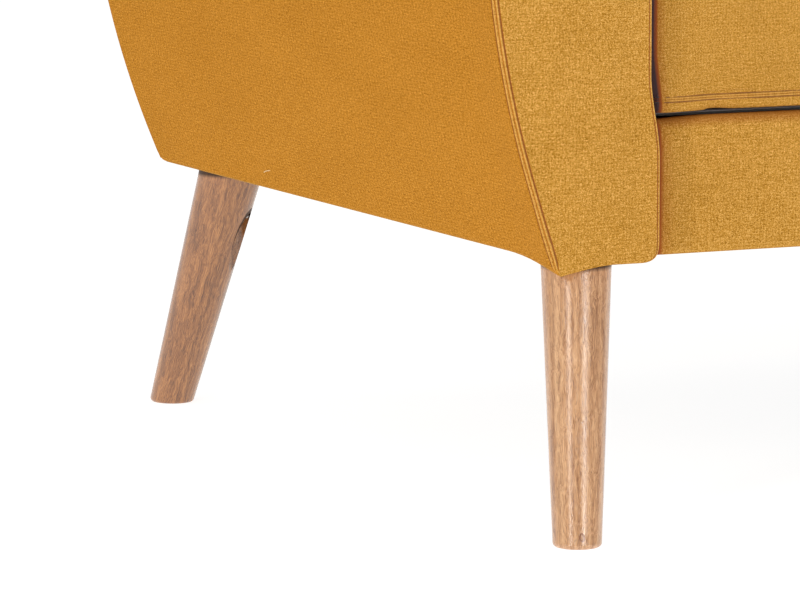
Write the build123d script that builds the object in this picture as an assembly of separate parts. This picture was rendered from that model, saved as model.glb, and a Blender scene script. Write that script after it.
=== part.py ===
"""A two-seat upholstered sofa on four splayed, tapered wooden legs.

The sofa is built as the real one is. A timber seat box carries sinuous springs. Two hollow arms, narrow
at the floor and wide at the top, stand at its ends. A raked back stands between the arms. Each is padded
and covered. Every leg is held by one bolt, which runs up through a counterbore in the leg into a tee nut.
Two seat cushions and two back cushions lie loose on the frame.

Units are millimetres. X runs along the sofa, Y from front to back and Z up. The origin is on the floor
under the middle of the bounding box.
"""

from build123d import *
import math
import os

# Whole sofa
WIDTH = 1500.0
DEPTH = 839.0
HEIGHT = 800.0
BODY_BOTTOM = 192.0
HALF_WIDTH = WIDTH / 2

# Layers of the upholstery
CLOTH = 2.0
FOAM = 10.0
LINER = 3.0
PADDING = CLOTH + FOAM
SHELL = PADDING + LINER
BOARD = 12.0

# Legs: tapered round timber, leaning outwards, cut level at both ends
LEG_TOP_RADIUS = 25.0
LEG_FOOT_RADIUS = 17.0
LEG_SPLAY_X = 28.0
LEG_SPLAY_Y = 59.5
LEG_X = 667.0
LEG_SPACING_Y = 609.0
LEG_FOOT_ROUND = 3.0
FOOT_REACH_Y = 16.64  # from the foot's centre to its rounded edge, along Y
FRONT_LEG_Y = -DEPTH / 2 + LEG_SPLAY_Y + FOOT_REACH_Y
REAR_LEG_Y = FRONT_LEG_Y + LEG_SPACING_Y

# Leg fixings
BOLT_RADIUS = 4.0
BOLT_HOLE_RADIUS = 4.3
BOLT_HEAD_ACROSS = 13.0
BOLT_HEAD_HEIGHT = 5.3
WASHER_RADIUS = 8.0
WASHER_THICKNESS = 1.6
COUNTERBORE_RADIUS = 8.8
COUNTERBORE_DEPTH = 32.0  # from the leg's top down to the shoulder that the washer bears on
BOLT_INSET_X = 7.0  # the bolt stands this far inboard of the leg's centre
DOWEL_RADIUS = 4.0
DOWEL_LENGTH = 30.0
DOWEL_OFFSET_X = 5.0  # outwards from the leg's centre
DOWEL_OFFSET_Y = 15.0  # inwards from it
BOLT_TIP = 3.0  # how far a leg bolt stands out of its nut
CONE_SPARE = 30.0  # extra length at both ends of a leg's cone, before it is cut level
TEE_NUT_FLANGE_RADIUS = 9.5
TEE_NUT_FLANGE = 1.5
TEE_NUT_BARREL_RADIUS = 5.0
TEE_NUT_BARREL = 9.0
FIT = 0.05  # radial clearance of a bolt in its nut, and of a dowel in its hole

# Arms: the outer side is an arc that stands upright at its widest
ARM_FRONT_Y = FRONT_LEG_Y - 33.7
ARM_TOP = 595.0
ARM_CURVE_RADIUS = 742.6
ARM_WIDEST_Z = 470.0
ARM_TOP_OUTER_ROUND = 46.0
ARM_TOP_INNER_ROUND = 26.0
ARM_INNER_X = 626.0
BASE_RAIL_HEIGHT = 45.0
TOP_BOARD = 22.0
ARM_BOLT_LENGTH = 62.0
ARM_BOLT_Z = 222.0
ARM_BOLT_Y = (-200.0, 180.0)

# Back: its rear leans a little and its front leans more, so it thins towards the top
REAR_LEAN = 7.0
REAR_TOP_Y = DEPTH / 2
SEAT_LEAN = 12.0
BACK_X = ARM_INNER_X - 2.0
BACK_FRONT_Y = 247.4
BACK_TOP_ROUND = 24.0
BACK_CORNER_ROUND = 40.0
POST_WIDTH = 45.0
POST_DEPTH = 30.0
POST_BOLT_Z = (215.0, 258.0)
POST_BOLT_LENGTH = 40.0
POST_COUNTERBORE_RADIUS = 9.0
POST_BOLT_SEAT = 15.0  # how far into the post's foot the bolt's head lies
STRAP_WIDTH = 50.0
STRAP = 1.5
STRAP_COUNT = 5
TOP_RAIL_DEPTH = 40.0
LUMBAR_RAIL_Z = (300.0, 350.0)

# Seat box
RAIL_FACE_Y = ARM_FRONT_Y + 26.2
RAIL = 28.0
RAIL_BOTTOM = BODY_BOTTOM + 2.0
RAIL_TOP = 279.0
RAIL_PAD_TOP = 289.0
RAIL_PAD_BACK = 15.0
RAIL_ROUND = 11.0
REAR_RAIL_Y = 283.4
SIDE_RAIL = 25.0
CENTRE_RAIL_HEIGHT = 45.0
BRACE = 70.0
BRACE_HEIGHT = 55.0
DUST_CLOTH = 1.0

# Springs and deck
WIRE_RADIUS = 1.9
SPRING_COUNT = 10
SPRING_HALF_WIDTH = 25.0
SPRING_BARS = 26
SPRING_TURN_RADIUS = 11.0
SPRING_END_SHARE = 0.6  # how much of a bar's half width the wire's two cut ends keep
SPRING_INSET = 6.0  # from a rail's inner edge to the spring's end bar
CLIP_PLATE = 1.4
CLIP_WIDTH = 22.0
CLIP_DEPTH = 10.0
WIRE_PLAY = 0.1
FELT = 3.0
DECK_CLOTH = 1.0
DECK_PLAY = 0.5
DECK_TOP = 290.0

# Loose cushions
SIDE_GAP = 2.0
MIDDLE_GAP = 3.0
CUSHION_ROUND = 14.0
SEAT_CUSHION_FRONT_Y = RAIL_FACE_Y - 2.0
SEAT_CUSHION_BOTTOM = DECK_TOP + 1.5
SEAT_CUSHION_TOP = 428.0
BACK_CUSHION_THICKNESS = 115.0
BACK_CUSHION_REACH = 475.0  # how far up the back's slope the cushion's top stands
BACK_GAP = 0.6
CUSHION_GAP = 2.0


def rear_y(z):
    """Y of the sofa's leaning rear face at height z."""
    return REAR_TOP_Y - (HEIGHT - z) * math.tan(math.radians(REAR_LEAN))


def back_front_y(z):
    """Y of the padded back's front face at height z."""
    return BACK_FRONT_Y + (z - DECK_TOP) * math.tan(math.radians(SEAT_LEAN))


def block(x0, x1, y0, y1, z0, z1):
    """A square-edged block between two corners."""
    size = (x1 - x0, y1 - y0, z1 - z0)
    centre = ((x0 + x1) / 2, (y0 + y1) / 2, (z0 + z1) / 2)
    return Pos(*centre) * Box(*size)


def along_x(points, x0, x1):
    """A closed outline of (y, z) points, carried along X."""
    face = make_face(Polyline(*points, close=True))
    return extrude(Plane.YZ.offset(x0) * face, amount=x1 - x0)


def along_y(face, y0, y1):
    """A face drawn in (x, z), carried along Y."""
    plane = Plane(origin=(0, y0, 0), x_dir=(1, 0, 0), z_dir=(0, -1, 0))
    return extrude(plane * face, amount=y0 - y1)


def rod(x, y, z0, z1, radius):
    """An upright cylinder."""
    return Pos(x, y, (z0 + z1) / 2) * Cylinder(radius, z1 - z0)


def rear_slice(near, far, x0, x1, z0=BODY_BOTTOM, z1=HEIGHT):
    """The slab that lies from near to far in front of the rear face, measured along Y."""
    low, high = rear_y(z0), rear_y(z1)
    return along_x([(low - far, z0), (low - near, z0), (high - near, z1), (high - far, z1)], x0, x1)


def group(solids):
    """Several like pieces that share one node."""
    return Compound(children=list(solids))


def mirrored(shape):
    """The right-hand twin of a left-hand piece."""
    return mirror(shape, about=Plane.YZ)


# Legs and their fixings


def leg_corners():
    """Name, X, Y and outward signs of each leg's top centre."""
    for row, y, y_sign in (("front", FRONT_LEG_Y, -1), ("rear", REAR_LEG_Y, 1)):
        for side, x_sign in (("left", -1), ("right", 1)):
            yield f"{row}_{side}", x_sign * LEG_X, y, x_sign, y_sign


def bolt_place(x, y, x_sign):
    """Where a leg's upright bolt stands."""
    return x - x_sign * BOLT_INSET_X, y


def make_leg(x, y, x_sign, y_sign):
    """One tapered leg, with its bolt hole, dowel hole and the counterbore that breaks out of its side."""
    top = Vector(x, y, BODY_BOTTOM)
    foot = Vector(x + x_sign * LEG_SPLAY_X, y + y_sign * LEG_SPLAY_Y, 0)
    axis = top - foot
    length = axis.length
    growth = CONE_SPARE * (LEG_TOP_RADIUS - LEG_FOOT_RADIUS) / length
    plane = Plane(origin=foot - axis.normalized() * CONE_SPARE, z_dir=axis)
    radii = LEG_FOOT_RADIUS - growth, LEG_TOP_RADIUS + growth
    cone = Solid.make_cone(*radii, length + 2 * CONE_SPARE, plane)
    reach = LEG_TOP_RADIUS + LEG_SPLAY_X + LEG_SPLAY_Y
    leg = cone & block(x - reach, x + reach, y - reach, y + reach, 0, BODY_BOTTOM)
    leg = fillet(leg.edges().group_by(Axis.Z)[0], LEG_FOOT_ROUND)
    bolt_x, bolt_y = bolt_place(x, y, x_sign)
    leg -= rod(bolt_x, bolt_y, 0, BODY_BOTTOM - COUNTERBORE_DEPTH, COUNTERBORE_RADIUS)
    leg -= rod(bolt_x, bolt_y, 0, BODY_BOTTOM, BOLT_HOLE_RADIUS)
    leg -= make_dowel(x, y, x_sign, y_sign, DOWEL_RADIUS + FIT)
    return leg


def make_dowel(x, y, x_sign, y_sign, radius):
    """The dowel that stops a leg turning, half in the leg and half in the rail above, or its hole."""
    half = DOWEL_LENGTH / 2
    dowel_x, dowel_y = x + x_sign * DOWEL_OFFSET_X, y - y_sign * DOWEL_OFFSET_Y
    return rod(dowel_x, dowel_y, BODY_BOTTOM - half, BODY_BOTTOM + half, radius)


def bolt_head():
    """A hexagon bolt head that stands on the origin and points up."""
    return extrude(RegularPolygon(BOLT_HEAD_ACROSS / 2, 6, major_radius=False), amount=BOLT_HEAD_HEIGHT)


def make_leg_bolt(bolt_x, bolt_y):
    """A hexagon-head bolt, head down in the leg's counterbore."""
    washer_face = BODY_BOTTOM - COUNTERBORE_DEPTH - WASHER_THICKNESS
    tip = BODY_BOTTOM + BASE_RAIL_HEIGHT + TEE_NUT_FLANGE + BOLT_TIP
    head = Pos(bolt_x, bolt_y, washer_face - BOLT_HEAD_HEIGHT) * bolt_head()
    return head + rod(bolt_x, bolt_y, washer_face, tip, BOLT_RADIUS - FIT)


def make_leg_washer(bolt_x, bolt_y):
    """The washer under a leg bolt's head."""
    top = BODY_BOTTOM - COUNTERBORE_DEPTH
    disc = rod(bolt_x, bolt_y, top - WASHER_THICKNESS, top, WASHER_RADIUS)
    return disc - rod(bolt_x, bolt_y, top - WASHER_THICKNESS, top, BOLT_HOLE_RADIUS)


def make_tee_nut(bolt_x, bolt_y):
    """The flanged nut that is driven into the top of an arm's base rail."""
    seat = BODY_BOTTOM + BASE_RAIL_HEIGHT
    nut = rod(bolt_x, bolt_y, seat, seat + TEE_NUT_FLANGE, TEE_NUT_FLANGE_RADIUS)
    nut += rod(bolt_x, bolt_y, seat - TEE_NUT_BARREL, seat, TEE_NUT_BARREL_RADIUS)
    return nut - rod(bolt_x, bolt_y, seat - TEE_NUT_BARREL, seat + TEE_NUT_FLANGE, BOLT_RADIUS)


# Arms, all drawn for the left-hand end


def arm_section(inset, bottom=BODY_BOTTOM):
    """The arm's outline from the front, in (x, z), with every side moved in by inset and an open foot."""
    centre_x = ARM_CURVE_RADIUS - HALF_WIDTH
    radius = ARM_CURVE_RADIUS - inset

    def on_curve(z):
        return centre_x - math.sqrt(radius**2 - (ARM_WIDEST_Z - z) ** 2), z

    low, high = on_curve(bottom), on_curve(ARM_WIDEST_Z)
    inner_x, top = -ARM_INNER_X - inset, ARM_TOP - inset
    curve = ThreePointArc(low, on_curve((bottom + ARM_WIDEST_Z) / 2), high)
    rounds = [ARM_TOP_OUTER_ROUND - inset, ARM_TOP_INNER_ROUND - inset]
    cap = FilletPolyline(high, (high[0], top), (inner_x, top), (inner_x, bottom), radius=rounds)
    foot = Line((inner_x, bottom), low)
    return make_face([curve, *cap.edges(), foot])


def arm_layer(outer, inner, front, rear):
    """A hoop of the arm between two insets, open underneath; front and rear are its ends' insets."""
    y0, y1 = ARM_FRONT_Y + front, rear_y(ARM_TOP) + 1
    hollow = along_y(arm_section(inner, BODY_BOTTOM - 1), y0 - 1, y1 + 1)
    return along_y(arm_section(outer), y0, y1) - hollow - rear_slice(-DEPTH, rear, -WIDTH, 0)


def arm_core(front, depth):
    """A slab that fills the inside of the arm's lining."""
    return along_y(arm_section(SHELL), ARM_FRONT_Y + front, ARM_FRONT_Y + front + depth)


def arm_bolt_holes():
    """The holes for the bolts that clamp an arm to the seat box."""
    length = 2 * (ARM_BOLT_LENGTH + SIDE_RAIL)
    for y in ARM_BOLT_Y:
        yield Pos(-ARM_INNER_X, y, ARM_BOLT_Z) * Rot(0, 90, 0) * Cylinder(BOLT_HOLE_RADIUS, length)


def make_arm_bolts():
    """The bolts that clamp one arm to the seat box, heads inside the box."""
    face = -BACK_X + SIDE_RAIL
    tip = face - ARM_BOLT_LENGTH
    for y in ARM_BOLT_Y:
        shank = Pos((face + tip) / 2, y, ARM_BOLT_Z) * Rot(0, 90, 0) * Cylinder(BOLT_RADIUS, face - tip)
        yield shank + Pos(face, y, ARM_BOLT_Z) * Rot(0, 90, 0) * bolt_head()


def make_arm():
    """Every piece of the left-hand arm, by name."""
    cloth = arm_layer(0, CLOTH, CLOTH, CLOTH)
    seam_x = -ARM_INNER_X - ARM_TOP_INNER_ROUND
    inner_half = block(seam_x, 0, -DEPTH, DEPTH, 0, HEIGHT)
    rear_band = rear_slice(CLOTH, CLOTH + BOARD, -WIDTH, 0)
    inside = arm_core(PADDING + BOARD, DEPTH) - rear_slice(-DEPTH, CLOTH + BOARD, -WIDTH, 0)
    base_top = BODY_BOTTOM + BASE_RAIL_HEIGHT
    base_rail = inside & block(-WIDTH, 0, -DEPTH, DEPTH, 0, base_top)
    for _, x, y, x_sign, y_sign in leg_corners():
        bolt_x, bolt_y = bolt_place(x, y, x_sign)
        base_rail -= rod(bolt_x, bolt_y, BODY_BOTTOM, base_top, BOLT_HOLE_RADIUS)
        base_rail -= rod(bolt_x, bolt_y, base_top - TEE_NUT_BARREL, base_top, TEE_NUT_BARREL_RADIUS)
        base_rail -= make_dowel(x, y, x_sign, y_sign, DOWEL_RADIUS + FIT)
    arm = {
        "side_cover": cloth - inner_half,
        "inner_cover": cloth & inner_half,
        "front_cover": along_y(arm_section(0), ARM_FRONT_Y, ARM_FRONT_Y + CLOTH),
        "rear_cover": along_y(arm_section(0), 0, DEPTH) & rear_slice(0, CLOTH, -WIDTH, 0),
        "front_foam": along_y(arm_section(CLOTH), ARM_FRONT_Y + CLOTH, ARM_FRONT_Y + PADDING),
        "foam": arm_layer(CLOTH, PADDING, PADDING, CLOTH),
        "liner": arm_layer(PADDING, SHELL, PADDING, CLOTH),
        "front_board": arm_core(PADDING, BOARD),
        "rear_board": along_y(arm_section(SHELL), 0, DEPTH) & rear_band,
        "base_rail": base_rail,
        "top_board": inside & block(-WIDTH, 0, -DEPTH, DEPTH, ARM_TOP - SHELL - TOP_BOARD, HEIGHT),
    }
    for name in ("inner_cover", "foam", "liner", "base_rail"):
        for hole in arm_bolt_holes():
            arm[name] -= hole
    return arm


# Back


def back_outline(inset):
    """The back's side outline in (y, z), with its front and top moved in by inset."""
    bottom, top = DECK_TOP, HEIGHT - inset
    lean = inset / math.cos(math.radians(SEAT_LEAN))
    return [
        (back_front_y(bottom) + lean, bottom),
        (back_front_y(top) + lean, top),
        (rear_y(top), top),
        (rear_y(bottom), bottom),
    ]


def back_body(inset):
    """The padded back as one solid, rounded along its top front edge and at its two top corners."""
    solid = along_x(back_outline(inset), -BACK_X + inset, BACK_X - inset)
    top_edges = solid.edges().group_by(Axis.Z)[-1]
    solid = fillet(top_edges.filter_by(Axis.Y), BACK_CORNER_ROUND - inset)
    front_edge = solid.edges().group_by(Axis.Z)[-1].filter_by(Axis.X).sort_by(Axis.Y)[0]
    return fillet(front_edge, BACK_TOP_ROUND - inset)


def post_centres():
    """The X of the back's three uprights."""
    outermost = BACK_X - CLOTH - POST_WIDTH / 2
    return -outermost, 0.0, outermost


def make_post(x, top):
    """One upright of the back, with its foot cut square where it meets the rear rail."""
    x0, x1 = x - POST_WIDTH / 2, x + POST_WIDTH / 2
    foot = block(x0, x1, REAR_RAIL_Y + RAIL, DEPTH, RAIL_BOTTOM, RAIL_TOP)
    post = rear_slice(CLOTH, CLOTH + POST_DEPTH, x0, x1, RAIL_BOTTOM, top)
    post += foot - rear_slice(-DEPTH, CLOTH, -WIDTH, WIDTH)
    for hole in post_bolt_holes(x):
        post -= hole
    return post


def lying_rod(x, z, y0, y1, radius):
    """A cylinder along Y."""
    return Pos(x, (y0 + y1) / 2, z) * Rot(90, 0, 0) * Cylinder(radius, y1 - y0)


def post_bolt_holes(x):
    """The counterbored holes through one upright's foot and into the rear rail."""
    seat = REAR_RAIL_Y + RAIL + POST_BOLT_SEAT
    for z in POST_BOLT_Z:
        yield lying_rod(x, z, seat - POST_BOLT_LENGTH, seat, BOLT_HOLE_RADIUS)
        yield lying_rod(x, z, seat, DEPTH, POST_COUNTERBORE_RADIUS)


def make_post_bolts(x):
    """The bolts that hold one upright to the rear rail."""
    seat = REAR_RAIL_Y + RAIL + POST_BOLT_SEAT
    for z in POST_BOLT_Z:
        head = Pos(x, seat, z) * Rot(-90, 0, 0) * bolt_head()
        yield lying_rod(x, z, seat - POST_BOLT_LENGTH, seat, BOLT_RADIUS) + head


def make_back():
    """Every piece of the back, by name."""
    outer, inner = back_body(0), back_body(CLOTH)
    frame_depth = CLOTH + POST_DEPTH
    strap_depth = frame_depth + STRAP
    rear_skin = rear_slice(0, CLOTH, -BACK_X, BACK_X)
    lower_skin = rear_slice(0, CLOTH, -BACK_X, BACK_X, BODY_BOTTOM, DECK_TOP)
    frame_top = HEIGHT - BACK_TOP_ROUND
    frame_zone = rear_slice(-DEPTH, strap_depth, -BACK_X, BACK_X, BODY_BOTTOM, frame_top)
    frame_x = BACK_X - CLOTH
    rail_x = frame_x - BACK_CORNER_ROUND / 2
    post_top = frame_top - TOP_RAIL_DEPTH
    posts = post_centres()
    spans = [(a + POST_WIDTH / 2, b - POST_WIDTH / 2) for a, b in zip(posts, posts[1:])]
    lumbar = [rear_slice(CLOTH, frame_depth, a, b, *LUMBAR_RAIL_Z) for a, b in spans]
    pitch = (post_top - LUMBAR_RAIL_Z[1]) / STRAP_COUNT
    lowest = LUMBAR_RAIL_Z[1] + (pitch - STRAP_WIDTH) / 2
    strap_zs = [(lowest + pitch * i, lowest + pitch * i + STRAP_WIDTH) for i in range(STRAP_COUNT)]
    straps = [rear_slice(frame_depth, strap_depth, -frame_x, frame_x, *zs) for zs in strap_zs]
    return {
        "back_front_cover": outer - inner - rear_skin,
        "back_rear_cover": (outer & rear_skin) + lower_skin,
        "back_foam": inner - frame_zone - rear_skin,
        "back_posts": group(make_post(x, post_top) for x in posts),
        "back_top_rail": rear_slice(CLOTH, frame_depth, -rail_x, rail_x, post_top, frame_top),
        "back_lumbar_rails": group(lumbar),
        "back_webbing": group(straps),
        "back_bolts": group(bolt for x in posts for bolt in make_post_bolts(x)),
    }


# Seat box, springs and deck


def rail_pad(thickness, inset):
    """The rounded padding over the front rail's face and top edge, between two insets."""
    front, top = RAIL_FACE_Y + inset, RAIL_PAD_TOP - inset
    back = RAIL_FACE_Y + PADDING + RAIL_PAD_BACK
    outer = [(front, RAIL_BOTTOM), (front, top), (back, top), (back, RAIL_BOTTOM)]
    inner_front, inner_top = front + thickness, max(top - thickness, RAIL_TOP)
    inner = [(inner_front, 0), (inner_front, inner_top), (back + 1, inner_top), (back + 1, 0)]
    solid = along_x(outer, -BACK_X, BACK_X)
    edge = solid.edges().filter_by(Axis.X).group_by(Axis.Z)[-1].sort_by(Axis.Y)[0]
    solid = fillet(edge, RAIL_ROUND - inset)
    return solid - along_x(inner, -WIDTH, WIDTH)


def make_corner_braces(front, rear, side):
    """Four triangular glue blocks in the corners of the seat box."""
    for y, y_sign in ((front, 1), (rear, -1)):
        for x_sign in (-1, 1):
            x = x_sign * side
            outline = Polyline((x, y), (x - x_sign * BRACE, y), (x, y + y_sign * BRACE), close=True)
            yield Pos(0, 0, RAIL_BOTTOM) * extrude(make_face(outline), amount=BRACE_HEIGHT)


def make_spring(front, rear, height):
    """One sinuous spring: a zigzag of steel wire in a level plane, centred on X 0."""
    pitch = (rear - front) / (SPRING_BARS - 1)
    reach = SPRING_HALF_WIDTH
    end = reach * SPRING_END_SHARE
    points = [(-end, front, height)]
    for i in range(SPRING_BARS):
        side = reach if i % 2 == 0 else -reach
        y = front + i * pitch
        points.append((side, y, height))
        if i < SPRING_BARS - 1:
            points.append((side, y + pitch, height))
    points[-1] = (math.copysign(end, side), rear, height)
    path = FilletPolyline(*points, radius=SPRING_TURN_RADIUS)
    start = Plane(origin=path @ 0, z_dir=path % 0)
    return sweep(start * Circle(WIRE_RADIUS), path=path)


def make_clip(x, y, opening):
    """A folded steel clip that holds a spring's end bar; opening is +1 or -1 along Y."""
    base, gap = RAIL_TOP, 2 * WIRE_RADIUS + 2 * WIRE_PLAY
    top = base + 2 * CLIP_PLATE + gap
    closed = y - opening * (WIRE_RADIUS + WIRE_PLAY + CLIP_PLATE)
    mouth = closed + opening * CLIP_DEPTH
    outer = block(x - CLIP_WIDTH / 2, x + CLIP_WIDTH / 2, min(closed, mouth), max(closed, mouth), base, top)
    a, b = closed + opening * CLIP_PLATE, mouth + opening
    slot = block(x - CLIP_WIDTH, x + CLIP_WIDTH, min(a, b), max(a, b), base + CLIP_PLATE, top - CLIP_PLATE)
    return outer - slot


def make_seat():
    """Every piece of the seat box, its springs and its deck, by name."""
    box_x = BACK_X
    rail_front = RAIL_FACE_Y + PADDING
    rail_back = rail_front + RAIL
    side_x = box_x - SIDE_RAIL
    deck_rear = REAR_RAIL_Y + RAIL
    side_rail = block(-box_x, -side_x, rail_back, REAR_RAIL_Y, RAIL_BOTTOM, RAIL_TOP)
    for hole in arm_bolt_holes():
        side_rail -= hole
    rear_rail = block(-box_x, box_x, REAR_RAIL_Y, deck_rear, RAIL_BOTTOM, RAIL_TOP)
    for x in post_centres():
        for hole in post_bolt_holes(x):
            rear_rail -= hole
    wire_z = RAIL_TOP + CLIP_PLATE + WIRE_PLAY + WIRE_RADIUS
    front_bar, rear_bar = rail_back - SPRING_INSET, REAR_RAIL_Y + SPRING_INSET
    spacing = 2 * side_x / SPRING_COUNT
    places = [-side_x + spacing * (i + 0.5) for i in range(SPRING_COUNT)]
    spring = make_spring(front_bar, rear_bar, wire_z)
    clips = [make_clip(x, y, way) for x in places for y, way in ((front_bar, 1), (rear_bar, -1))]
    centre_x = SIDE_RAIL / 2
    deck_front = rail_front + RAIL_PAD_BACK + DECK_PLAY
    felt_top = DECK_TOP - DECK_CLOTH
    centre_top = RAIL_BOTTOM + CENTRE_RAIL_HEIGHT
    dust_low = RAIL_BOTTOM - DUST_CLOTH
    dust_front, dust_rear = RAIL_FACE_Y + CLOTH, rear_y(dust_low) - CLOTH
    return {
        "front_rail": block(-box_x, box_x, rail_front, rail_back, RAIL_BOTTOM, RAIL_TOP),
        "rear_rail": rear_rail,
        "side_rail_left": side_rail,
        "side_rail_right": mirrored(side_rail),
        "centre_rail": block(-centre_x, centre_x, rail_back, REAR_RAIL_Y, RAIL_BOTTOM, centre_top),
        "corner_braces": group(make_corner_braces(rail_back, REAR_RAIL_Y, side_x)),
        "front_rail_foam": rail_pad(FOAM, CLOTH),
        "front_rail_cover": rail_pad(CLOTH, 0),
        "seat_springs": group(Pos(x, 0, 0) * spring for x in places),
        "spring_clips": group(clips),
        "deck_felt": block(-box_x, box_x, deck_front, deck_rear, felt_top - FELT, felt_top),
        "deck_cloth": block(-box_x, box_x, deck_front, deck_rear, felt_top, DECK_TOP),
        "dust_cloth": block(-box_x, box_x, dust_front, dust_rear, dust_low, RAIL_BOTTOM),
    }


# Loose cushions, drawn for the left-hand seat


def before_back(distance, along):
    """(y, z) of a point at a distance in front of the padded back's face and so far up its slope."""
    lean = math.radians(SEAT_LEAN)
    y = BACK_FRONT_Y + along * math.sin(lean) - distance * math.cos(lean)
    z = DECK_TOP + along * math.cos(lean) + distance * math.sin(lean)
    return y, z


def before_back_at(distance, z):
    """(y, z) of the point at a distance in front of the padded back's face and at height z."""
    lean = math.radians(SEAT_LEAN)
    along = (z - DECK_TOP - distance * math.sin(lean)) / math.cos(lean)
    return before_back(distance, along)


def cushion(outline, inset):
    """A rounded cushion on a (y, z) outline, with its two ends moved in by inset."""
    solid = along_x(outline, -ARM_INNER_X + SIDE_GAP + inset, -MIDDLE_GAP / 2 - inset)
    return fillet(solid.edges(), CUSHION_ROUND - inset)


def seat_cushion(inset):
    """A seat cushion with every face moved in by inset; its rear follows the back cushion."""
    front = SEAT_CUSHION_FRONT_Y + inset
    z0, z1 = SEAT_CUSHION_BOTTOM + inset, SEAT_CUSHION_TOP - inset
    reach = BACK_GAP + BACK_CUSHION_THICKNESS + CUSHION_GAP + inset
    outline = [(front, z0), (front, z1), before_back_at(reach, z1), before_back_at(reach, z0)]
    return cushion(outline, inset)


def back_cushion(inset):
    """A back cushion with every face moved in by inset; it stands on the deck and leans on the back."""
    near, far = BACK_GAP + inset, BACK_GAP + BACK_CUSHION_THICKNESS - inset
    bottom, top = SEAT_CUSHION_BOTTOM + inset, BACK_CUSHION_REACH - inset
    outline = [
        before_back_at(far, bottom),
        before_back(far, top),
        before_back(near, top),
        before_back_at(near, bottom),
    ]
    return cushion(outline, inset)


def make_cushions():
    """The four loose cushions, each a cover and its filling."""
    pieces = {}
    for name, shape in (("seat", seat_cushion), ("back", back_cushion)):
        core = shape(CLOTH)
        cover = shape(0) - core
        pieces[f"{name}_cushion_cover_left"] = cover
        pieces[f"{name}_cushion_cover_right"] = mirrored(cover)
        pieces[f"{name}_cushion_foam_left"] = core
        pieces[f"{name}_cushion_foam_right"] = mirrored(core)
    return pieces


def make_sofa():
    """Every node of the sofa, by name."""
    corners = list(leg_corners())
    bolts = [bolt_place(x, y, x_sign) for _, x, y, x_sign, _ in corners]
    nodes = {f"leg_{name}": make_leg(x, y, x_sign, y_sign) for name, x, y, x_sign, y_sign in corners}
    nodes["leg_bolts"] = group(make_leg_bolt(*place) for place in bolts)
    nodes["leg_washers"] = group(make_leg_washer(*place) for place in bolts)
    nodes["leg_tee_nuts"] = group(make_tee_nut(*place) for place in bolts)
    nodes["leg_dowels"] = group(make_dowel(*corner[1:], DOWEL_RADIUS) for corner in corners)
    for name, shape in make_arm().items():
        nodes[f"arm_{name}_left"] = shape
        nodes[f"arm_{name}_right"] = mirrored(shape)
    left_bolts = list(make_arm_bolts())
    nodes["arm_bolts"] = group(left_bolts + [mirrored(bolt) for bolt in left_bolts])
    nodes.update(make_seat())
    nodes.update(make_back())
    nodes.update(make_cushions())
    return nodes


os.makedirs("parts", exist_ok=True)
for node_name, node_shape in make_sofa().items():
    export_step(node_shape, f"parts/{node_name}.step")
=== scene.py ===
"""The looks of a two-seat sofa: mustard linen weave over foam, loose cushions and splayed beech legs.

Everything is in metres, in the CAD model's frame: X along the sofa, Y from front to back, Z up.
"""

import bmesh
import bpy
import math

import numpy as np
from mathutils import Matrix, Vector, noise
from mathutils.bvhtree import BVHTree


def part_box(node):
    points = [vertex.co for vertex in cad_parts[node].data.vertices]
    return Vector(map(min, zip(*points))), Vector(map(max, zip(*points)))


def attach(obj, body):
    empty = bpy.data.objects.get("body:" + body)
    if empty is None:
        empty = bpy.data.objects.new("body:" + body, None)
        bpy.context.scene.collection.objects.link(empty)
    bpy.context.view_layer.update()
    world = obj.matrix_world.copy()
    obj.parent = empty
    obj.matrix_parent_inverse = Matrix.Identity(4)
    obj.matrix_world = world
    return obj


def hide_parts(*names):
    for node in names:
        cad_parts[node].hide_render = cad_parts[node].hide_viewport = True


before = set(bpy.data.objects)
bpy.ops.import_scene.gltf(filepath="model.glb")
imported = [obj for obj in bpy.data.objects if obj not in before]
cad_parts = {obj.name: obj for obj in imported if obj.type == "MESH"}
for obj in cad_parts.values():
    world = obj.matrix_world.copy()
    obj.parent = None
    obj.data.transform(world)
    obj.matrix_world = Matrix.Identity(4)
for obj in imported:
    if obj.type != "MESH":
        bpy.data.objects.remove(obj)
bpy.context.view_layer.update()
scene = bpy.context.scene
MM = 0.001

# Arms
ARM_CURVE_RADIUS = 742.6 * MM
ARM_WIDEST_Z = 470 * MM
ARM_TOP_OUTER_ROUND = 46 * MM
ARM_TOP_INNER_ROUND = 26 * MM
ARM_FOOT_OUTER_ROUND = 4 * MM
ARM_FOOT_INNER_ROUND = 9 * MM
OUTLINE_STEP = 2.2 * MM
SEAM_EDGE_ROUND = 7 * MM
FOLD_EDGE_ROUND = 3 * MM
FRONT_SWELL = 4.2 * MM  # how far the outer side swells at the front seam
PANEL_CROWN = 2.5 * MM
SEAM_REACH = 9 * MM
SPINE_X = -0.672  # the line that the end panels' cloth is drawn to, at the arm's foot
SPINE_LEAN = -0.045  # how far that line moves outwards for each unit of height
FRONT_DROOP = 2.2 * MM  # how far the cloth hangs below the arm's foot at its front
TIP_DROOP = 6.4 * MM  # how much further it hangs at the outer front corner
TIP_INBOARD = 6 * MM
TIP_WIDTH = 38 * MM
DROOP_LENGTH = 80 * MM
FLARE = 7 * MM  # how far the inner front edge bulges towards the seat
REAR_FOOT_ROUND = 15 * MM

# Legs, measured in from the corners of a leg's box
LEG_TOP_REACH = 25 * MM
LEG_FOOT_REACH = 17 * MM
BOLT_INSET = 7 * MM  # from the middle of the leg's top towards the sofa's middle

# Sewing
NEEDLE_GAP = 2.65 * MM  # from a twin-needle seam's middle to each row of stitches
BOXING_GAP = 1.8 * MM  # the same on the cushions
FOLD_STITCH = 0.9 * MM  # from the middle of a folded edge's rounding to its row of stitches
STITCH_PITCH = 4.2 * MM
STITCH_LENGTH = 3.2 * MM
THREAD_RADIUS = 0.33 * MM

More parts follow.
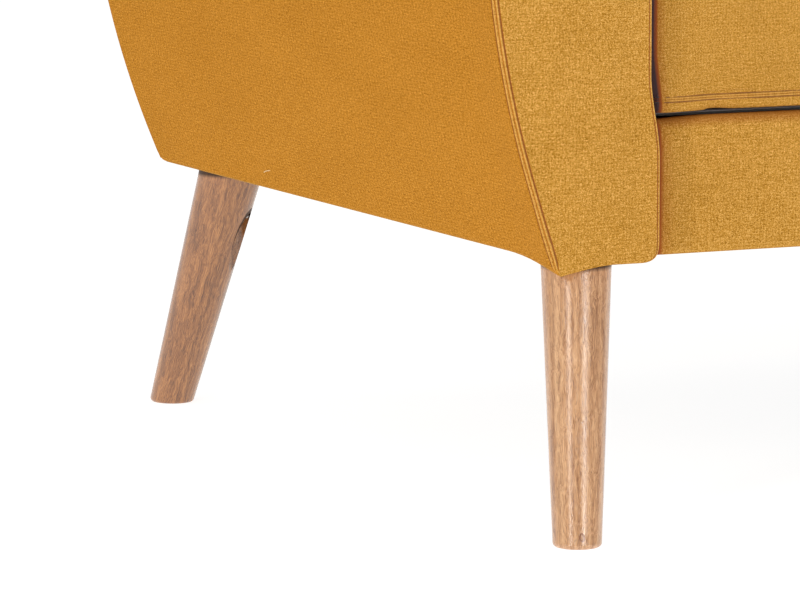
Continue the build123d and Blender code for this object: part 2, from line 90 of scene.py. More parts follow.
# Directions: the seat's axes, and up along and out through the leaning back
AXIS_X, AXIS_Y, AXIS_Z = np.eye(3)
SEAT_LEAN = math.radians(12)
SLOPE_UP = np.array([0, math.sin(SEAT_LEAN), math.cos(SEAT_LEAN)])
SLOPE_BACK = np.array([0, math.cos(SEAT_LEAN), -math.sin(SEAT_LEAN)])

# Camera
CAMERA_PLACE = (-2.4352, -3.87156, 0.6971)
CAMERA_AZIMUTH = math.radians(-24.84)
CAMERA_ELEVATION = math.radians(7.72)
CAMERA_SENSOR = 36
CAMERA_LENS = 257.265  # a long lens, which keeps upright edges nearly parallel


# Small tools


def smooth(t):
    """0 to 1 with level ends."""
    t = np.clip(t, 0, 1)
    return t * t * (3 - 2 * t)


def corner(node, end):
    """One corner of a CAD node's box as an array."""
    return np.array(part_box(node)[end])


def box_of(node):
    """Both corners of a CAD node's box."""
    return corner(node, 0), corner(node, 1)


def new_object(name, mesh):
    piece = bpy.data.objects.new(name, mesh)
    scene.collection.objects.link(piece)
    return piece


def mesh_piece(name, points, faces, material, crease=None):
    """A smooth mesh object from points and faces, welded and with its normals outwards.

    The optional per-point values hold the light and shade painted into the cloth: below 0 a painted
    highlight, 1 the painted shade of a fold, 2 painted deep shade.
    A face of many points is divided.
    """
    mesh = bpy.data.meshes.new(name)
    mesh.from_pydata(np.asarray(points).tolist(), [], [tuple(f) for f in faces])
    if crease is not None:
        values = mesh.attributes.new("crease", "FLOAT", "POINT").data
        values.foreach_set("value", np.asarray(crease, float))
    work = bmesh.new()
    work.from_mesh(mesh)
    bmesh.ops.remove_doubles(work, verts=work.verts, dist=0.004 * MM)
    bmesh.ops.recalc_face_normals(work, faces=work.faces)
    large = [face for face in work.faces if len(face.verts) > 12]
    bmesh.ops.triangulate(work, faces=large, ngon_method="BEAUTY")
    work.to_mesh(mesh)
    work.free()
    mesh.polygons.foreach_set("use_smooth", [True] * len(mesh.polygons))
    mesh.materials.append(material)
    return new_object(name, mesh)


def coordinates(piece):
    """A mesh object's points as an array."""
    flat = np.zeros(len(piece.data.vertices) * 3)
    piece.data.vertices.foreach_get("co", flat)
    return flat.reshape(-1, 3)


def set_coordinates(piece, points):
    piece.data.vertices.foreach_set("co", np.asarray(points, float).ravel())
    piece.data.update()


def loft(rings, closed_along=False):
    """Quads that join equal closed rings of points, one after another."""
    count = len(rings[0])
    points = np.concatenate(rings)
    faces = []
    pairs = len(rings) if closed_along else len(rings) - 1
    for ring in range(pairs):
        low, high = ring * count, (ring + 1) % len(rings) * count
        for i in range(count):
            j = (i + 1) % count
            faces.append((low + i, low + j, high + j, high + i))
    return points, faces


def end_faces(rings):
    """Quads that close a loft's first and last ring, laced from one end of its longer side to the other."""
    faces = []
    for number in (0, len(rings) - 1):
        ring = np.asarray(rings[number])
        count, base = len(ring), number * len(ring)
        start = ring[:, np.ptp(ring, axis=0).argmax()].argmin()
        ahead = [base + (start + k) % count for k in range(count // 2 + 1)]
        behind = [base + (start - k) % count for k in range(count // 2 + 1)]
        for k in range(count // 2):
            corners = tuple(dict.fromkeys((ahead[k], ahead[k + 1], behind[k + 1], behind[k])))
            faces.append(corners)
    return faces


def resample(points, step, closed=False):
    """The same line in even steps, as near to the given step as fits."""
    points = np.asarray(points, float)
    if closed:
        points = np.vstack([points, points[:1]])
    lengths = np.linalg.norm(np.diff(points, axis=0), axis=1)
    along = np.concatenate([[0], np.cumsum(lengths)])
    count = max(2, round(along[-1] / step))
    wanted = np.linspace(0, along[-1], count + 1)
    if closed:
        wanted = wanted[:-1]
    return np.stack([np.interp(wanted, along, points[:, i]) for i in range(points.shape[1])], axis=1)


def unit(vectors):
    """Rows of vectors, each scaled to a length of one."""
    return vectors / np.linalg.norm(vectors, axis=1)[:, None]


def inward_from(outline):
    """The direction into a closed clockwise outline at each of its points."""
    ahead = unit(np.roll(outline, -1, axis=0) - np.roll(outline, 1, axis=0))
    return np.stack([ahead[:, 1], -ahead[:, 0]], axis=1)


def upright(flat, y):
    """An outline of (x, z) points stood up at a depth y, which is one number or one for each point."""
    return np.stack([flat[:, 0], np.broadcast_to(y, len(flat)), flat[:, 1]], axis=1)


def bend(a, corner_point, b, steps=8):
    """A soft corner: a quadratic curve from a to b, drawn towards the corner point."""
    t = np.linspace(0, 1, steps)[:, None]
    a, c, b = np.array(a), np.array(corner_point), np.array(b)
    return (1 - t) ** 2 * a + 2 * t * (1 - t) * c + t**2 * b


def quarter(centre, radius, start, steps=14):
    """A quarter circle in a plane, from the start angle on, clockwise."""
    angles = np.radians(np.linspace(start, start - 90, steps))
    return np.stack([centre[0] + radius * np.cos(angles), centre[1] + radius * np.sin(angles)], axis=1)


def bump_at(w, centre, height, width):
    """A rounded ridge, or a groove where height is negative, across a seam."""
    return height * np.exp(-(((w - centre) / width) ** 2))


def mirror_piece(piece, name):
    """The right-hand twin of a left-hand piece, with its own mesh."""
    mesh = piece.data.copy()
    mesh.transform(Matrix.Diagonal((-1, 1, 1, 1)))
    mesh.flip_normals()
    return new_object(name, mesh)


def finish_piece(piece, body, slot, *nodes, fill=None):
    """Ties a piece to its CAD body and hides the nodes that it stands for; its material slot is not used."""
    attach(piece, body)
    if nodes:
        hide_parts(*nodes)
    return piece


# Materials


def material_nodes(name):
    """An empty node material with its output, and a short way to add nodes to it."""
    material = bpy.data.materials.new(name)
    material.use_nodes = True
    tree = material.node_tree
    tree.nodes.clear()
    output = tree.nodes.new("ShaderNodeOutputMaterial")
    shader = tree.nodes.new("ShaderNodeBsdfPrincipled")
    tree.links.new(shader.outputs[0], output.inputs["Surface"])

    def add(kind, settings=None, **inputs):
        node = tree.nodes.new("ShaderNode" + kind)
        for key, value in (settings or {}).items():
            setattr(node, key, value)
        for key, value in inputs.items():
            socket = node.inputs[int(key[1:])] if key[0] == "i" and key[1:].isdigit() else node.inputs[key]
            if isinstance(value, bpy.types.NodeSocket):
                tree.links.new(value, socket)
            else:
                socket.default_value = value
        return node

    return material, shader, add


def math_node(add, operation, a, b=0.0):
    return add("Math", {"operation": operation}, i0=a, i1=b).outputs[0]


def plus(add, a, b):
    return math_node(add, "ADD", a, b)


def minus(add, a, b):
    return math_node(add, "SUBTRACT", a, b)


def times(add, a, b):
    return math_node(add, "MULTIPLY", a, b)


def blend(add, share, colour, other):
    """A share of another colour over a colour."""
    return add("Mix", {"data_type": "RGBA"}, i0=share, i6=colour, i7=(*other, 1)).outputs[2]


def vector_node(add, operation, a, b=(0, 0, 0), output=0):
    return add("VectorMath", {"operation": operation}, i0=a, i1=b).outputs[output]


def connect(material, shader, inputs):
    """Gives a shader its inputs, each a node's socket or a plain value."""
    for name, value in inputs.items():
        if isinstance(value, bpy.types.NodeSocket):
            material.node_tree.links.new(value, shader.inputs[name])
        else:
            shader.inputs[name].default_value = value
    return material


def ramp(add, factor, *stops):
    """A colour ramp through (position, colour) stops."""
    node = add("ValToRGB", None, i0=factor)
    elements = node.color_ramp.elements
    while len(elements) < len(stops):
        elements.new(0.5)
    for element, (position, colour) in zip(elements, stops):
        element.position = position
        element.color = (*colour, 1)
    return node.outputs[0]


def stretched_noise(add, place, size, detail=2.0, roughness=0.5):
    """Noise whose grains have the given size in metres along X, Y and Z."""
    scaled = vector_node(add, "MULTIPLY", place, tuple(1 / s for s in size))
    settings = {"noise_dimensions": "3D"}
    return add("TexNoise", settings, Vector=scaled, Scale=1.0, Detail=detail, Roughness=roughness).outputs[0]


def thread_noise(add, place, size, detail=1.0):
    """Noise from minus a half to a half."""
    return minus(add, stretched_noise(add, place, size, detail), 0.5)


def beside_arm_shade(add):
    """0 to 1: how much shade is painted on cloth in the slit beside an arm, from the nearness stored in its
    mesh.
    """
    nearness = add("Attribute", {"attribute_name": "beside_arm"}).outputs["Fac"]
    stops = ((0.0, 0.0), (0.56, 0.16), (0.66, 0.58), (0.76, 0.72), (0.83, 1.0), (1.05, 1.0), (1.25, 0.0))
    half = times(add, nearness, 0.5)
    return ramp(add, half, *((position / 2, (depth, depth, depth)) for position, depth in stops))


def linen(name, tones):
    """A heathered linen weave: fine level and upright yarns and a few slubs, with painted shade in seams and
    folds, painted highlights on ridges, and sideways faces tinted warmer for the light on them.
    """
    material, shader, add = material_nodes(name)
    place = add("Attribute", {"attribute_name": "weave"}).outputs["Vector"]
    parts = (
        ((0.46 * MM, 0.46 * MM, 1), 1.9),
        ((2.2 * MM, 0.5 * MM, 1), 0.8),
        ((0.5 * MM, 2.0 * MM, 1), 0.7),
        ((9 * MM, 0.8 * MM, 1), 0.28),
        ((0.8 * MM, 7 * MM, 1), 0.22),
        ((55 * MM, 40 * MM, 1), 0.10),
    )
    total = 0.5
    for size, share in parts:
        total = plus(add, total, times(add, thread_noise(add, place, size), share))
    across = add("SeparateXYZ", None, i0=place)
    for i, drift in ((0, (30 * MM, 4 * MM, 1)), (1, (4 * MM, 30 * MM, 1))):
        wander = times(add, thread_noise(add, place, drift), 7.0)
        count = plus(add, times(add, across.outputs[i], 2 * math.pi / (2.5 * MM)), wander)
        total = plus(add, total, times(add, math_node(add, "SINE", count), 0.042))
    colour = ramp(add, total, (0.0, tones[0]), (0.5, tones[1]), (1.0, tones[2]))
    # Painted light: faces that face sideways are tinted warmer and darker, for the warmer light that falls on
    # the sides
    way = add("SeparateXYZ", None, i0=place).outputs[2]
    painted_side_tint = math_node(add, "LESS_THAN", way, 1.8)
    multiply = {"data_type": "RGBA", "blend_type": "MULTIPLY"}
    colour = add("Mix", multiply, i0=painted_side_tint, i6=colour, i7=(0.99, 0.85, 0.5, 1)).outputs[2]
    # Painted light and shade from the mesh: the fold and deep tones darken seams, folds, the rail's roll and
    # the slit beside an arm, and values below 0 lighten ridges towards the pale yarn as a painted highlight
    crease = add("Attribute", {"attribute_name": "crease"}).outputs["Fac"]
    crease = plus(add, crease, times(add, beside_arm_shade(add), 2.0))
    pale = times(add, crease, -1.0)
    colour = blend(add, pale, colour, tones[2])
    folded = blend(add, crease, colour, tones[3])
    deep = minus(add, crease, 1.0)
    shaded = blend(add, deep, folded, tones[4])
    pitch = 0.75 * MM
    waves = [math_node(add, "SINE", times(add, across.outputs[i], math.pi / pitch)) for i in (0, 1)]
    weave = times(add, waves[0], waves[1])
    height = plus(add, total, times(add, weave, 0.2))
    bumped = add("Bump", None, Strength=0.5, Distance=0.25 * MM, Height=height)
    inputs = {"Base Color": shaded, "Normal": bumped.outputs[0], "Roughness": 0.9, "Specular IOR Level": 0.06}
    return connect(material, shader, inputs)


def plain_cloth(name, dark, light, thread):
    """A fine, even cloth of one colour, such as a lining."""
    material, shader, add = material_nodes(name)
    place = add("Attribute", {"attribute_name": "weave"}).outputs["Vector"]
    rows = thread_noise(add, place, (8 * thread, thread, 1))
    columns = thread_noise(add, place, (thread, 8 * thread, 1))
    total = plus(add, plus(add, rows, columns), 0.5)
    colour = ramp(add, total, (0.2, dark), (0.8, light))
    bumped = add("Bump", None, Strength=0.4, Distance=0.2 * MM, Height=total)
    return connect(material, shader, {"Base Color": colour, "Normal": bumped.outputs[0], "Roughness": 0.9})


def thread_material(name, dark, light):
    """Twisted sewing thread, with shade painted on it in the slit beside an arm."""
    material, shader, add = material_nodes(name)
    place = add("TexCoord").outputs["Object"]
    twist = stretched_noise(add, place, (0.5 * MM, 0.5 * MM, 0.5 * MM))
    colour = ramp(add, twist, (0.3, dark), (0.7, light))
    # Painted shade on the thread in the slit beside an arm
    colour = blend(add, beside_arm_shade(add), colour, (0.06, 0.05, 0.055))
    return connect(material, shader, {"Base Color": colour, "Roughness": 0.7})


def leg_timber(name, foot, top, bolt, shadow_from, tones, knot=None):
    """Lacquered beech whose grain runs along a leg, with painted shade in its bolt pocket and a painted
    shadow where it meets the cloth.
    """
    material, shader, add = material_nodes(name)
    axis = Vector(top) - Vector(foot)
    turn = axis.to_track_quat("Z", "Y").inverted().to_euler()
    here = add("TexCoord").outputs["Object"]
    moved = vector_node(add, "SUBTRACT", here, tuple(foot))
    place = add("Mapping", {"vector_type": "POINT"}, Vector=moved, Rotation=tuple(turn)).outputs[0]
    wander = [times(add, thread_noise(add, place, (r * MM, r * MM, 2.2 * r * MM)), 5 * MM) for r in (7, 10)]
    shift = add("CombineXYZ", None, X=wander[0], Y=wander[1]).outputs[0]
    place = vector_node(add, "ADD", place, shift)
    flat = add("SeparateXYZ", None, i0=place)
    fibre = stretched_noise(add, place, (0.5 * MM, 0.5 * MM, 15 * MM), 3, 0.65)
    pores = stretched_noise(add, place, (0.42 * MM, 0.42 * MM, 5 * MM), 1)
    broad = stretched_noise(add, place, (6 * MM, 6 * MM, 90 * MM), 2)
    line = math_node(add, "SINE", times(add, flat.outputs[0], 2 * math.pi / (4.4 * MM)))
    total = plus(add, times(add, fibre, 0.75), times(add, broad, 0.30))
    total = plus(add, total, times(add, line, 0.035))
    colour = ramp(add, total, (0.36, tones[0]), (0.53, tones[1]), (0.72, tones[2]))
    flecks = ramp(add, pores, (0.60, (0, 0, 0)), (0.70, (1, 1, 1)))
    colour = blend(add, times(add, flecks, 0.5), colour, tones[3])
    if knot is not None:
        away = vector_node(add, "SUBTRACT", here, tuple(knot))
        away = vector_node(add, "MULTIPLY", away, (1 / (2.4 * MM), 1 / (4 * MM), 1 / (3.8 * MM)))
        reach = vector_node(add, "LENGTH", away, output="Value")
        rings = ((0.0, 0.8), (0.35, 0.3), (0.75, 1), (1.0, 0))
        eye = ramp(add, reach, *((position, (depth, depth, depth)) for position, depth in rings))
        colour = blend(add, eye, colour, (0.19, 0.055, 0.012))
    # Painted shade: the wall of the bolt pocket is darkened towards the pocket tone
    sideways = vector_node(add, "SUBTRACT", here, (bolt[0], bolt[1], 0))
    sideways = vector_node(add, "MULTIPLY", sideways, (1, 1, 0))
    reach = vector_node(add, "LENGTH", sideways, output="Value")
    pocket = ramp(add, times(add, reach, 1 / (20 * MM)), (0.442, (0.85, 0.85, 0.85)), (0.447, (0, 0, 0)))
    colour = blend(add, pocket, colour, tones[4])
    # Painted shadow: a dark band at the leg's top, where it meets the cloth
    height = add("SeparateXYZ", None, i0=here).outputs[2]
    under = times(add, minus(add, height, shadow_from), 1 / (10 * MM))
    shadow = ramp(add, under, (0.0, (0, 0, 0)), (0.3, (0.92, 0.92, 0.92)))
    colour = blend(add, shadow, colour, (0.03, 0.014, 0.008))
    # The coat is left off where shade is painted, in the pocket and under the cloth
    uncoated_painted_shade = math_node(add, "MAXIMUM", times(add, pocket, 1.25), shadow)
    height = minus(add, fibre, times(add, flecks, 0.4))
    ripple = thread_noise(add, place, (1.5 * MM, 1.5 * MM, 3.6 * MM))
    height = plus(add, height, times(add, ripple, 0.6))
    bumped = add("Bump", None, Strength=0.6, Distance=0.13 * MM, Height=height)
    worn = add("MapRange", None, Value=fibre, **{"To Min": 0.38, "To Max": 0.55})
    inputs = {
        "Base Color": colour,
        "Normal": bumped.outputs[0],
        "Roughness": worn.outputs[0],
        "Specular IOR Level": 0.2,
        "Coat Weight": minus(add, 1.0, uncoated_painted_shade),
        "Coat Normal": bumped.outputs[0],
        "Coat Roughness": 0.16,
        "Coat IOR": 1.75,
        "Coat Tint": (1.0, 0.9, 0.78, 1),
    }
    return connect(material, shader, inputs)


def frame_timber(name, dark, light, size):
    """Sawn timber or board, seen only where a cushion or a lining is lifted."""
    material, shader, add = material_nodes(name)
    place = add("TexCoord").outputs["Object"]
    grain = stretched_noise(add, place, size, 3, 0.6)
    colour = ramp(add, grain, (0.3, dark), (0.7, light))
    bumped = add("Bump", None, Strength=0.4, Distance=0.4 * MM, Height=grain)
    return connect(material, shader, {"Base Color": colour, "Normal": bumped.outputs[0], "Roughness": 0.75})


def steel(name, colour, roughness):
    """Plated or drawn steel with faint wear."""
    material, shader, add = material_nodes(name)
    place = add("TexCoord").outputs["Object"]
    wear = stretched_noise(add, place, (1.5 * MM, 1.5 * MM, 1.5 * MM), 3)
    tone = ramp(add, wear, (0.3, tuple(c * 0.75 for c in colour)), (0.7, colour))
    rough = add("MapRange", None, Value=wear, **{"To Min": roughness * 0.7, "To Max": roughness * 1.3})
    return connect(material, shader, {"Base Color": tone, "Roughness": rough.outputs[0], "Metallic": 1.0})


def black_bolt(name, rim):
    """Blackened steel with a painted highlight on its head's rim, below the given height."""
    material, shader, add = material_nodes(name)
    place = add("TexCoord").outputs["Object"]
    wear = stretched_noise(add, place, (1.5 * MM, 1.5 * MM, 1.5 * MM), 3)
    tone = ramp(add, wear, (0.3, (0.006, 0.005, 0.005)), (0.7, (0.014, 0.012, 0.011)))
    # Painted highlight: the bolt is pale below the rim height, for light caught on the head's chamfer
    below = math_node(add, "LESS_THAN", add("SeparateXYZ", None, i0=place).outputs[2], rim)
    tone = blend(add, below, tone, (0.66, 0.6, 0.54))
    return connect(material, shader, {"Base Color": tone, "Roughness": 0.5, "Specular IOR Level": 0.2})


# The linen's dark, middle and pale yarns, the pale one also its painted highlight, then the painted shade of
# a fold and painted deep shade
MUSTARD_TONES = (
    (0.21, 0.088, 0.005),
    (0.505, 0.243, 0.031),
    (0.84, 0.48, 0.145),
    (0.33, 0.085, 0.018),
    (0.07, 0.045, 0.05),
)
MUSTARD = linen("mustard_linen", MUSTARD_TONES)
THREAD = thread_material("mustard_thread", (0.20, 0.075, 0.012), (0.36, 0.15, 0.025))
PALE_THREAD = thread_material("pale_thread", (0.85, 0.62, 0.30), (0.95, 0.75, 0.42))
DECK = plain_cloth("deck_lining", (0.17, 0.165, 0.18), (0.29, 0.285, 0.31), 0.6 * MM)
BLACK = plain_cloth("dust_lining", (0.012, 0.012, 0.013), (0.045, 0.045, 0.048), 0.9 * MM)
STRAP = plain_cloth("woven_strap", (0.16, 0.13, 0.09), (0.34, 0.29, 0.20), 1.6 * MM)
FELT = plain_cloth("grey_felt", (0.16, 0.155, 0.15), (0.36, 0.35, 0.33), 1.2 * MM)
ZINC = steel("zinc_plate", (0.62, 0.61, 0.58), 0.34)
WIRE = steel("oiled_wire", (0.20, 0.20, 0.21), 0.42)
SOFTWOOD = frame_timber("sawn_softwood", (0.42, 0.26, 0.12), (0.68, 0.48, 0.26), (60 * MM, 3 * MM, 3 * MM))
PLY = frame_timber("plywood", (0.40, 0.25, 0.12), (0.62, 0.44, 0.25), (4 * MM, 25 * MM, 25 * MM))
HARDBOARD = frame_timber("hardboard", (0.16, 0.08, 0.035), (0.26, 0.14, 0.065), (1 * MM, 1 * MM, 1 * MM))


def lay_weave(piece, turn=0.0):
    """Stores, at each face corner, the place on the flat cloth that the corner came from.

    Each face takes its cloth from the side that it mostly faces, as a tailored cover does.
    """
    mesh = piece.data
    attribute = mesh.attributes.new("weave", "FLOAT_VECTOR", "CORNER")
    points = coordinates(piece)
    normals = np.zeros(len(mesh.polygons) * 3)
    mesh.polygons.foreach_get("normal", normals)
    facing = np.abs(normals.reshape(-1, 3)).argmax(axis=1)
    corners = np.zeros(len(mesh.loops), int)
    mesh.loops.foreach_get("vertex_index", corners)
    totals = np.zeros(len(mesh.polygons), int)
    mesh.polygons.foreach_get("loop_total", totals)
    side = np.repeat(facing, totals)
    place = points[corners]
    flat = np.zeros((len(corners), 3))
    for way, (u, v) in enumerate(((1, 2), (0, 2), (0, 1))):
        chosen = side == way
        flat[chosen, 0] = place[chosen, u] * (0.5 if way == 0 else 1)
        flat[chosen, 1] = place[chosen, v]
        flat[chosen, 2] = way * 3.7 + turn
    attribute.data.foreach_set("vector", flat.ravel())


# Sewing


def seam_profile(w, gap=NEEDLE_GAP):
    """The height across a twin-needle seam: a ditch between two ridges, and stitches outside each ridge."""
    ridges = bump_at(w, -gap / 2, 0.55, gap / 3) + bump_at(w, gap / 2, 0.55, gap / 3)
    height = ridges + bump_at(w, 0, -0.35, 0.4 * MM)
    return (height + bump_at(w, -gap, -0.95, 0.5 * MM) + bump_at(w, gap, -0.95, 0.5 * MM)) * MM


def seam_painted_shading(w, gap=NEEDLE_GAP, depth=1.45):
    """The painted shade across a twin-needle seam, below 0 where a painted highlight lies on a ridge."""
    w = np.asarray(w, float)
    rows = bump_at(w, -gap, depth, 0.47 * MM) + bump_at(w, gap, depth, 0.47 * MM)
    crests = bump_at(w, -gap / 2, -0.4, 0.6 * MM) + bump_at(w, gap / 2, -0.4, 0.6 * MM)
    return rows + crests + bump_at(w, 0, 0.6, 0.35 * MM)


def edge_profile(w):
    """The height of a folded edge with one row of stitches beside it."""
    return (bump_at(w, 0.5 * MM, 0.7, 0.7 * MM) - bump_at(w, -FOLD_STITCH, 0.7, 0.45 * MM)) * MM


def edge_painted_shading(w):
    """The painted shade across a folded edge: along its stitches and beyond its crest, with a painted
    highlight on the crest.
    """
    w = np.asarray(w, float)
    stitches, crest = bump_at(w, -FOLD_STITCH, 1.3, 0.5 * MM), bump_at(w, 0.5 * MM, 0.6, 0.6 * MM)
    return stitches - crest + 0.7 * smooth((w - 1.5 * MM) / (2 * MM))


def stitch_row(name, path, normals, body, material=THREAD, closed=False, pitch=STITCH_PITCH):
    """A row of separate stitches along a path, each a rounded length of thread pulled into the cloth."""
    chance = np.random.default_rng(len(name) + sum(name.encode()))
    line = resample(np.hstack([path, normals]), pitch, closed)
    here, there = line[:, :3], np.roll(line[:, :3], -1, axis=0)
    up = unit(line[:, 3:])
    if not closed:
        here, there, up = here[:-1], there[:-1], up[:-1]
    count = len(here)
    along = unit(there - here)
    side = np.cross(along, up)
    along = along + side * chance.uniform(-0.05, 0.05, (count, 1))
    middle = (here + there) / 2 + side * chance.uniform(-0.06, 0.06, (count, 1)) * MM
    shares = ((-0.5, 0.25), (-0.36, 0.9), (0.0, 1.0), (0.36, 0.9), (0.5, 0.25))
    points = np.zeros((count, len(shares), 6, 3))
    for number, (share, girth) in enumerate(shares):
        lift = (0.25 - 0.5 * (abs(share) * 2) ** 2) * THREAD_RADIUS
        centre = middle + along * STITCH_LENGTH * share + up * lift
        for k in range(6):
            angle = math.pi / 3 * k
            outward = math.cos(angle) * side + math.sin(angle) * up
            points[:, number, k] = centre + girth * THREAD_RADIUS * outward
    turns = [(k, (k + 1) % 6) for k in range(6)]
    sides = np.array([[r + k, r + 6 + k, r + 6 + n, r + n] for r in range(0, 24, 6) for k, n in turns])
    caps = np.array([list(range(6)), [24 + k for k in reversed(range(6))]])
    starts = np.arange(count)[:, None, None] * 30
    faces = (sides[None] + starts).reshape(-1, 4).tolist() + (caps[None] + starts).reshape(-1, 6).tolist()
    row = mesh_piece(name, points.reshape(-1, 3), faces, material)
    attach(row, body)
    return row


def seam_band(name, path, normals, body):
    """A raised twin-needle seam that goes round a cushion on its surface, with its two rows of stitches."""
    line = resample(np.hstack([path, normals]), 2.5 * MM, closed=True)
    place, up = line[:, :3], unit(line[:, 3:])
    along = np.roll(place, -1, axis=0) - np.roll(place, 1, axis=0)
    across = unit(np.cross(along, up))
    widths = np.linspace(-4.2, 4.2, 29) * MM
    heights = seam_profile(widths, BOXING_GAP) + 0.35 * MM - 0.6 * MM * (np.abs(widths) / (4.2 * MM)) ** 3
    widths = np.concatenate([widths, [4.0 * MM, -4.0 * MM]])
    heights = np.concatenate([heights, [-1.4 * MM, -1.4 * MM]])
    rings = place[:, None] + across[:, None] * widths[None, :, None] + up[:, None] * heights[None, :, None]
    points, faces = loft(list(rings), closed_along=True)
    # Painted shade along the seam's rows of stitches, painted highlights on its ridges
    crease = np.tile(seam_painted_shading(widths, BOXING_GAP, 1.0), len(place))
    band = mesh_piece(name, points, faces, MUSTARD, crease)
    lay_weave(band, 0.3)
    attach(band, body)
    rows = [band]
    for side, word in ((-1, "low"), (1, "high")):
        stitches = place + across * BOXING_GAP * side - up * 0.15 * MM
        rows.append(stitch_row(f"{name}_stitches_{word}", stitches, up, body, closed=True))
    return rows


# Arms


def soften_loop(values, passes):
    """Averages values with their neighbours round a loop, so that directions turn gently at a corner."""
    for _ in range(passes):
        values = (np.roll(values, 1, axis=0) + 2 * values + np.roll(values, -1, axis=0)) / 4
    return values


def arm_outline():
    """The left arm's outline from in front as (x, z), clockwise from its outer foot."""
    low, high = corner("arm_side_cover_left", 0), corner("arm_front_cover_left", 1)
    widest, inner = low[0], high[0]
    bottom, top = low[2], high[2]
    centre = widest + ARM_CURVE_RADIUS

    def outer(z):
        return centre - math.sqrt(ARM_CURVE_RADIUS**2 - (ARM_WIDEST_Z - z) ** 2)

    outer_r, inner_r = ARM_FOOT_OUTER_ROUND, ARM_FOOT_INNER_ROUND
    foot = (outer(bottom), bottom)
    arc_z = np.linspace(bottom + outer_r, ARM_WIDEST_Z, 60)
    arc = np.stack([[outer(z) for z in arc_z], arc_z], axis=1)
    parts = [
        bend((foot[0] + outer_r, bottom), foot, arc[0]),
        arc,
        quarter((widest + ARM_TOP_OUTER_ROUND, top - ARM_TOP_OUTER_ROUND), ARM_TOP_OUTER_ROUND, 180),
        quarter((inner - ARM_TOP_INNER_ROUND, top - ARM_TOP_INNER_ROUND), ARM_TOP_INNER_ROUND, 90),
        bend((inner, bottom + inner_r), (inner, bottom), (inner - inner_r, bottom)),
    ]
    return resample(np.vstack(parts), OUTLINE_STEP, closed=True)


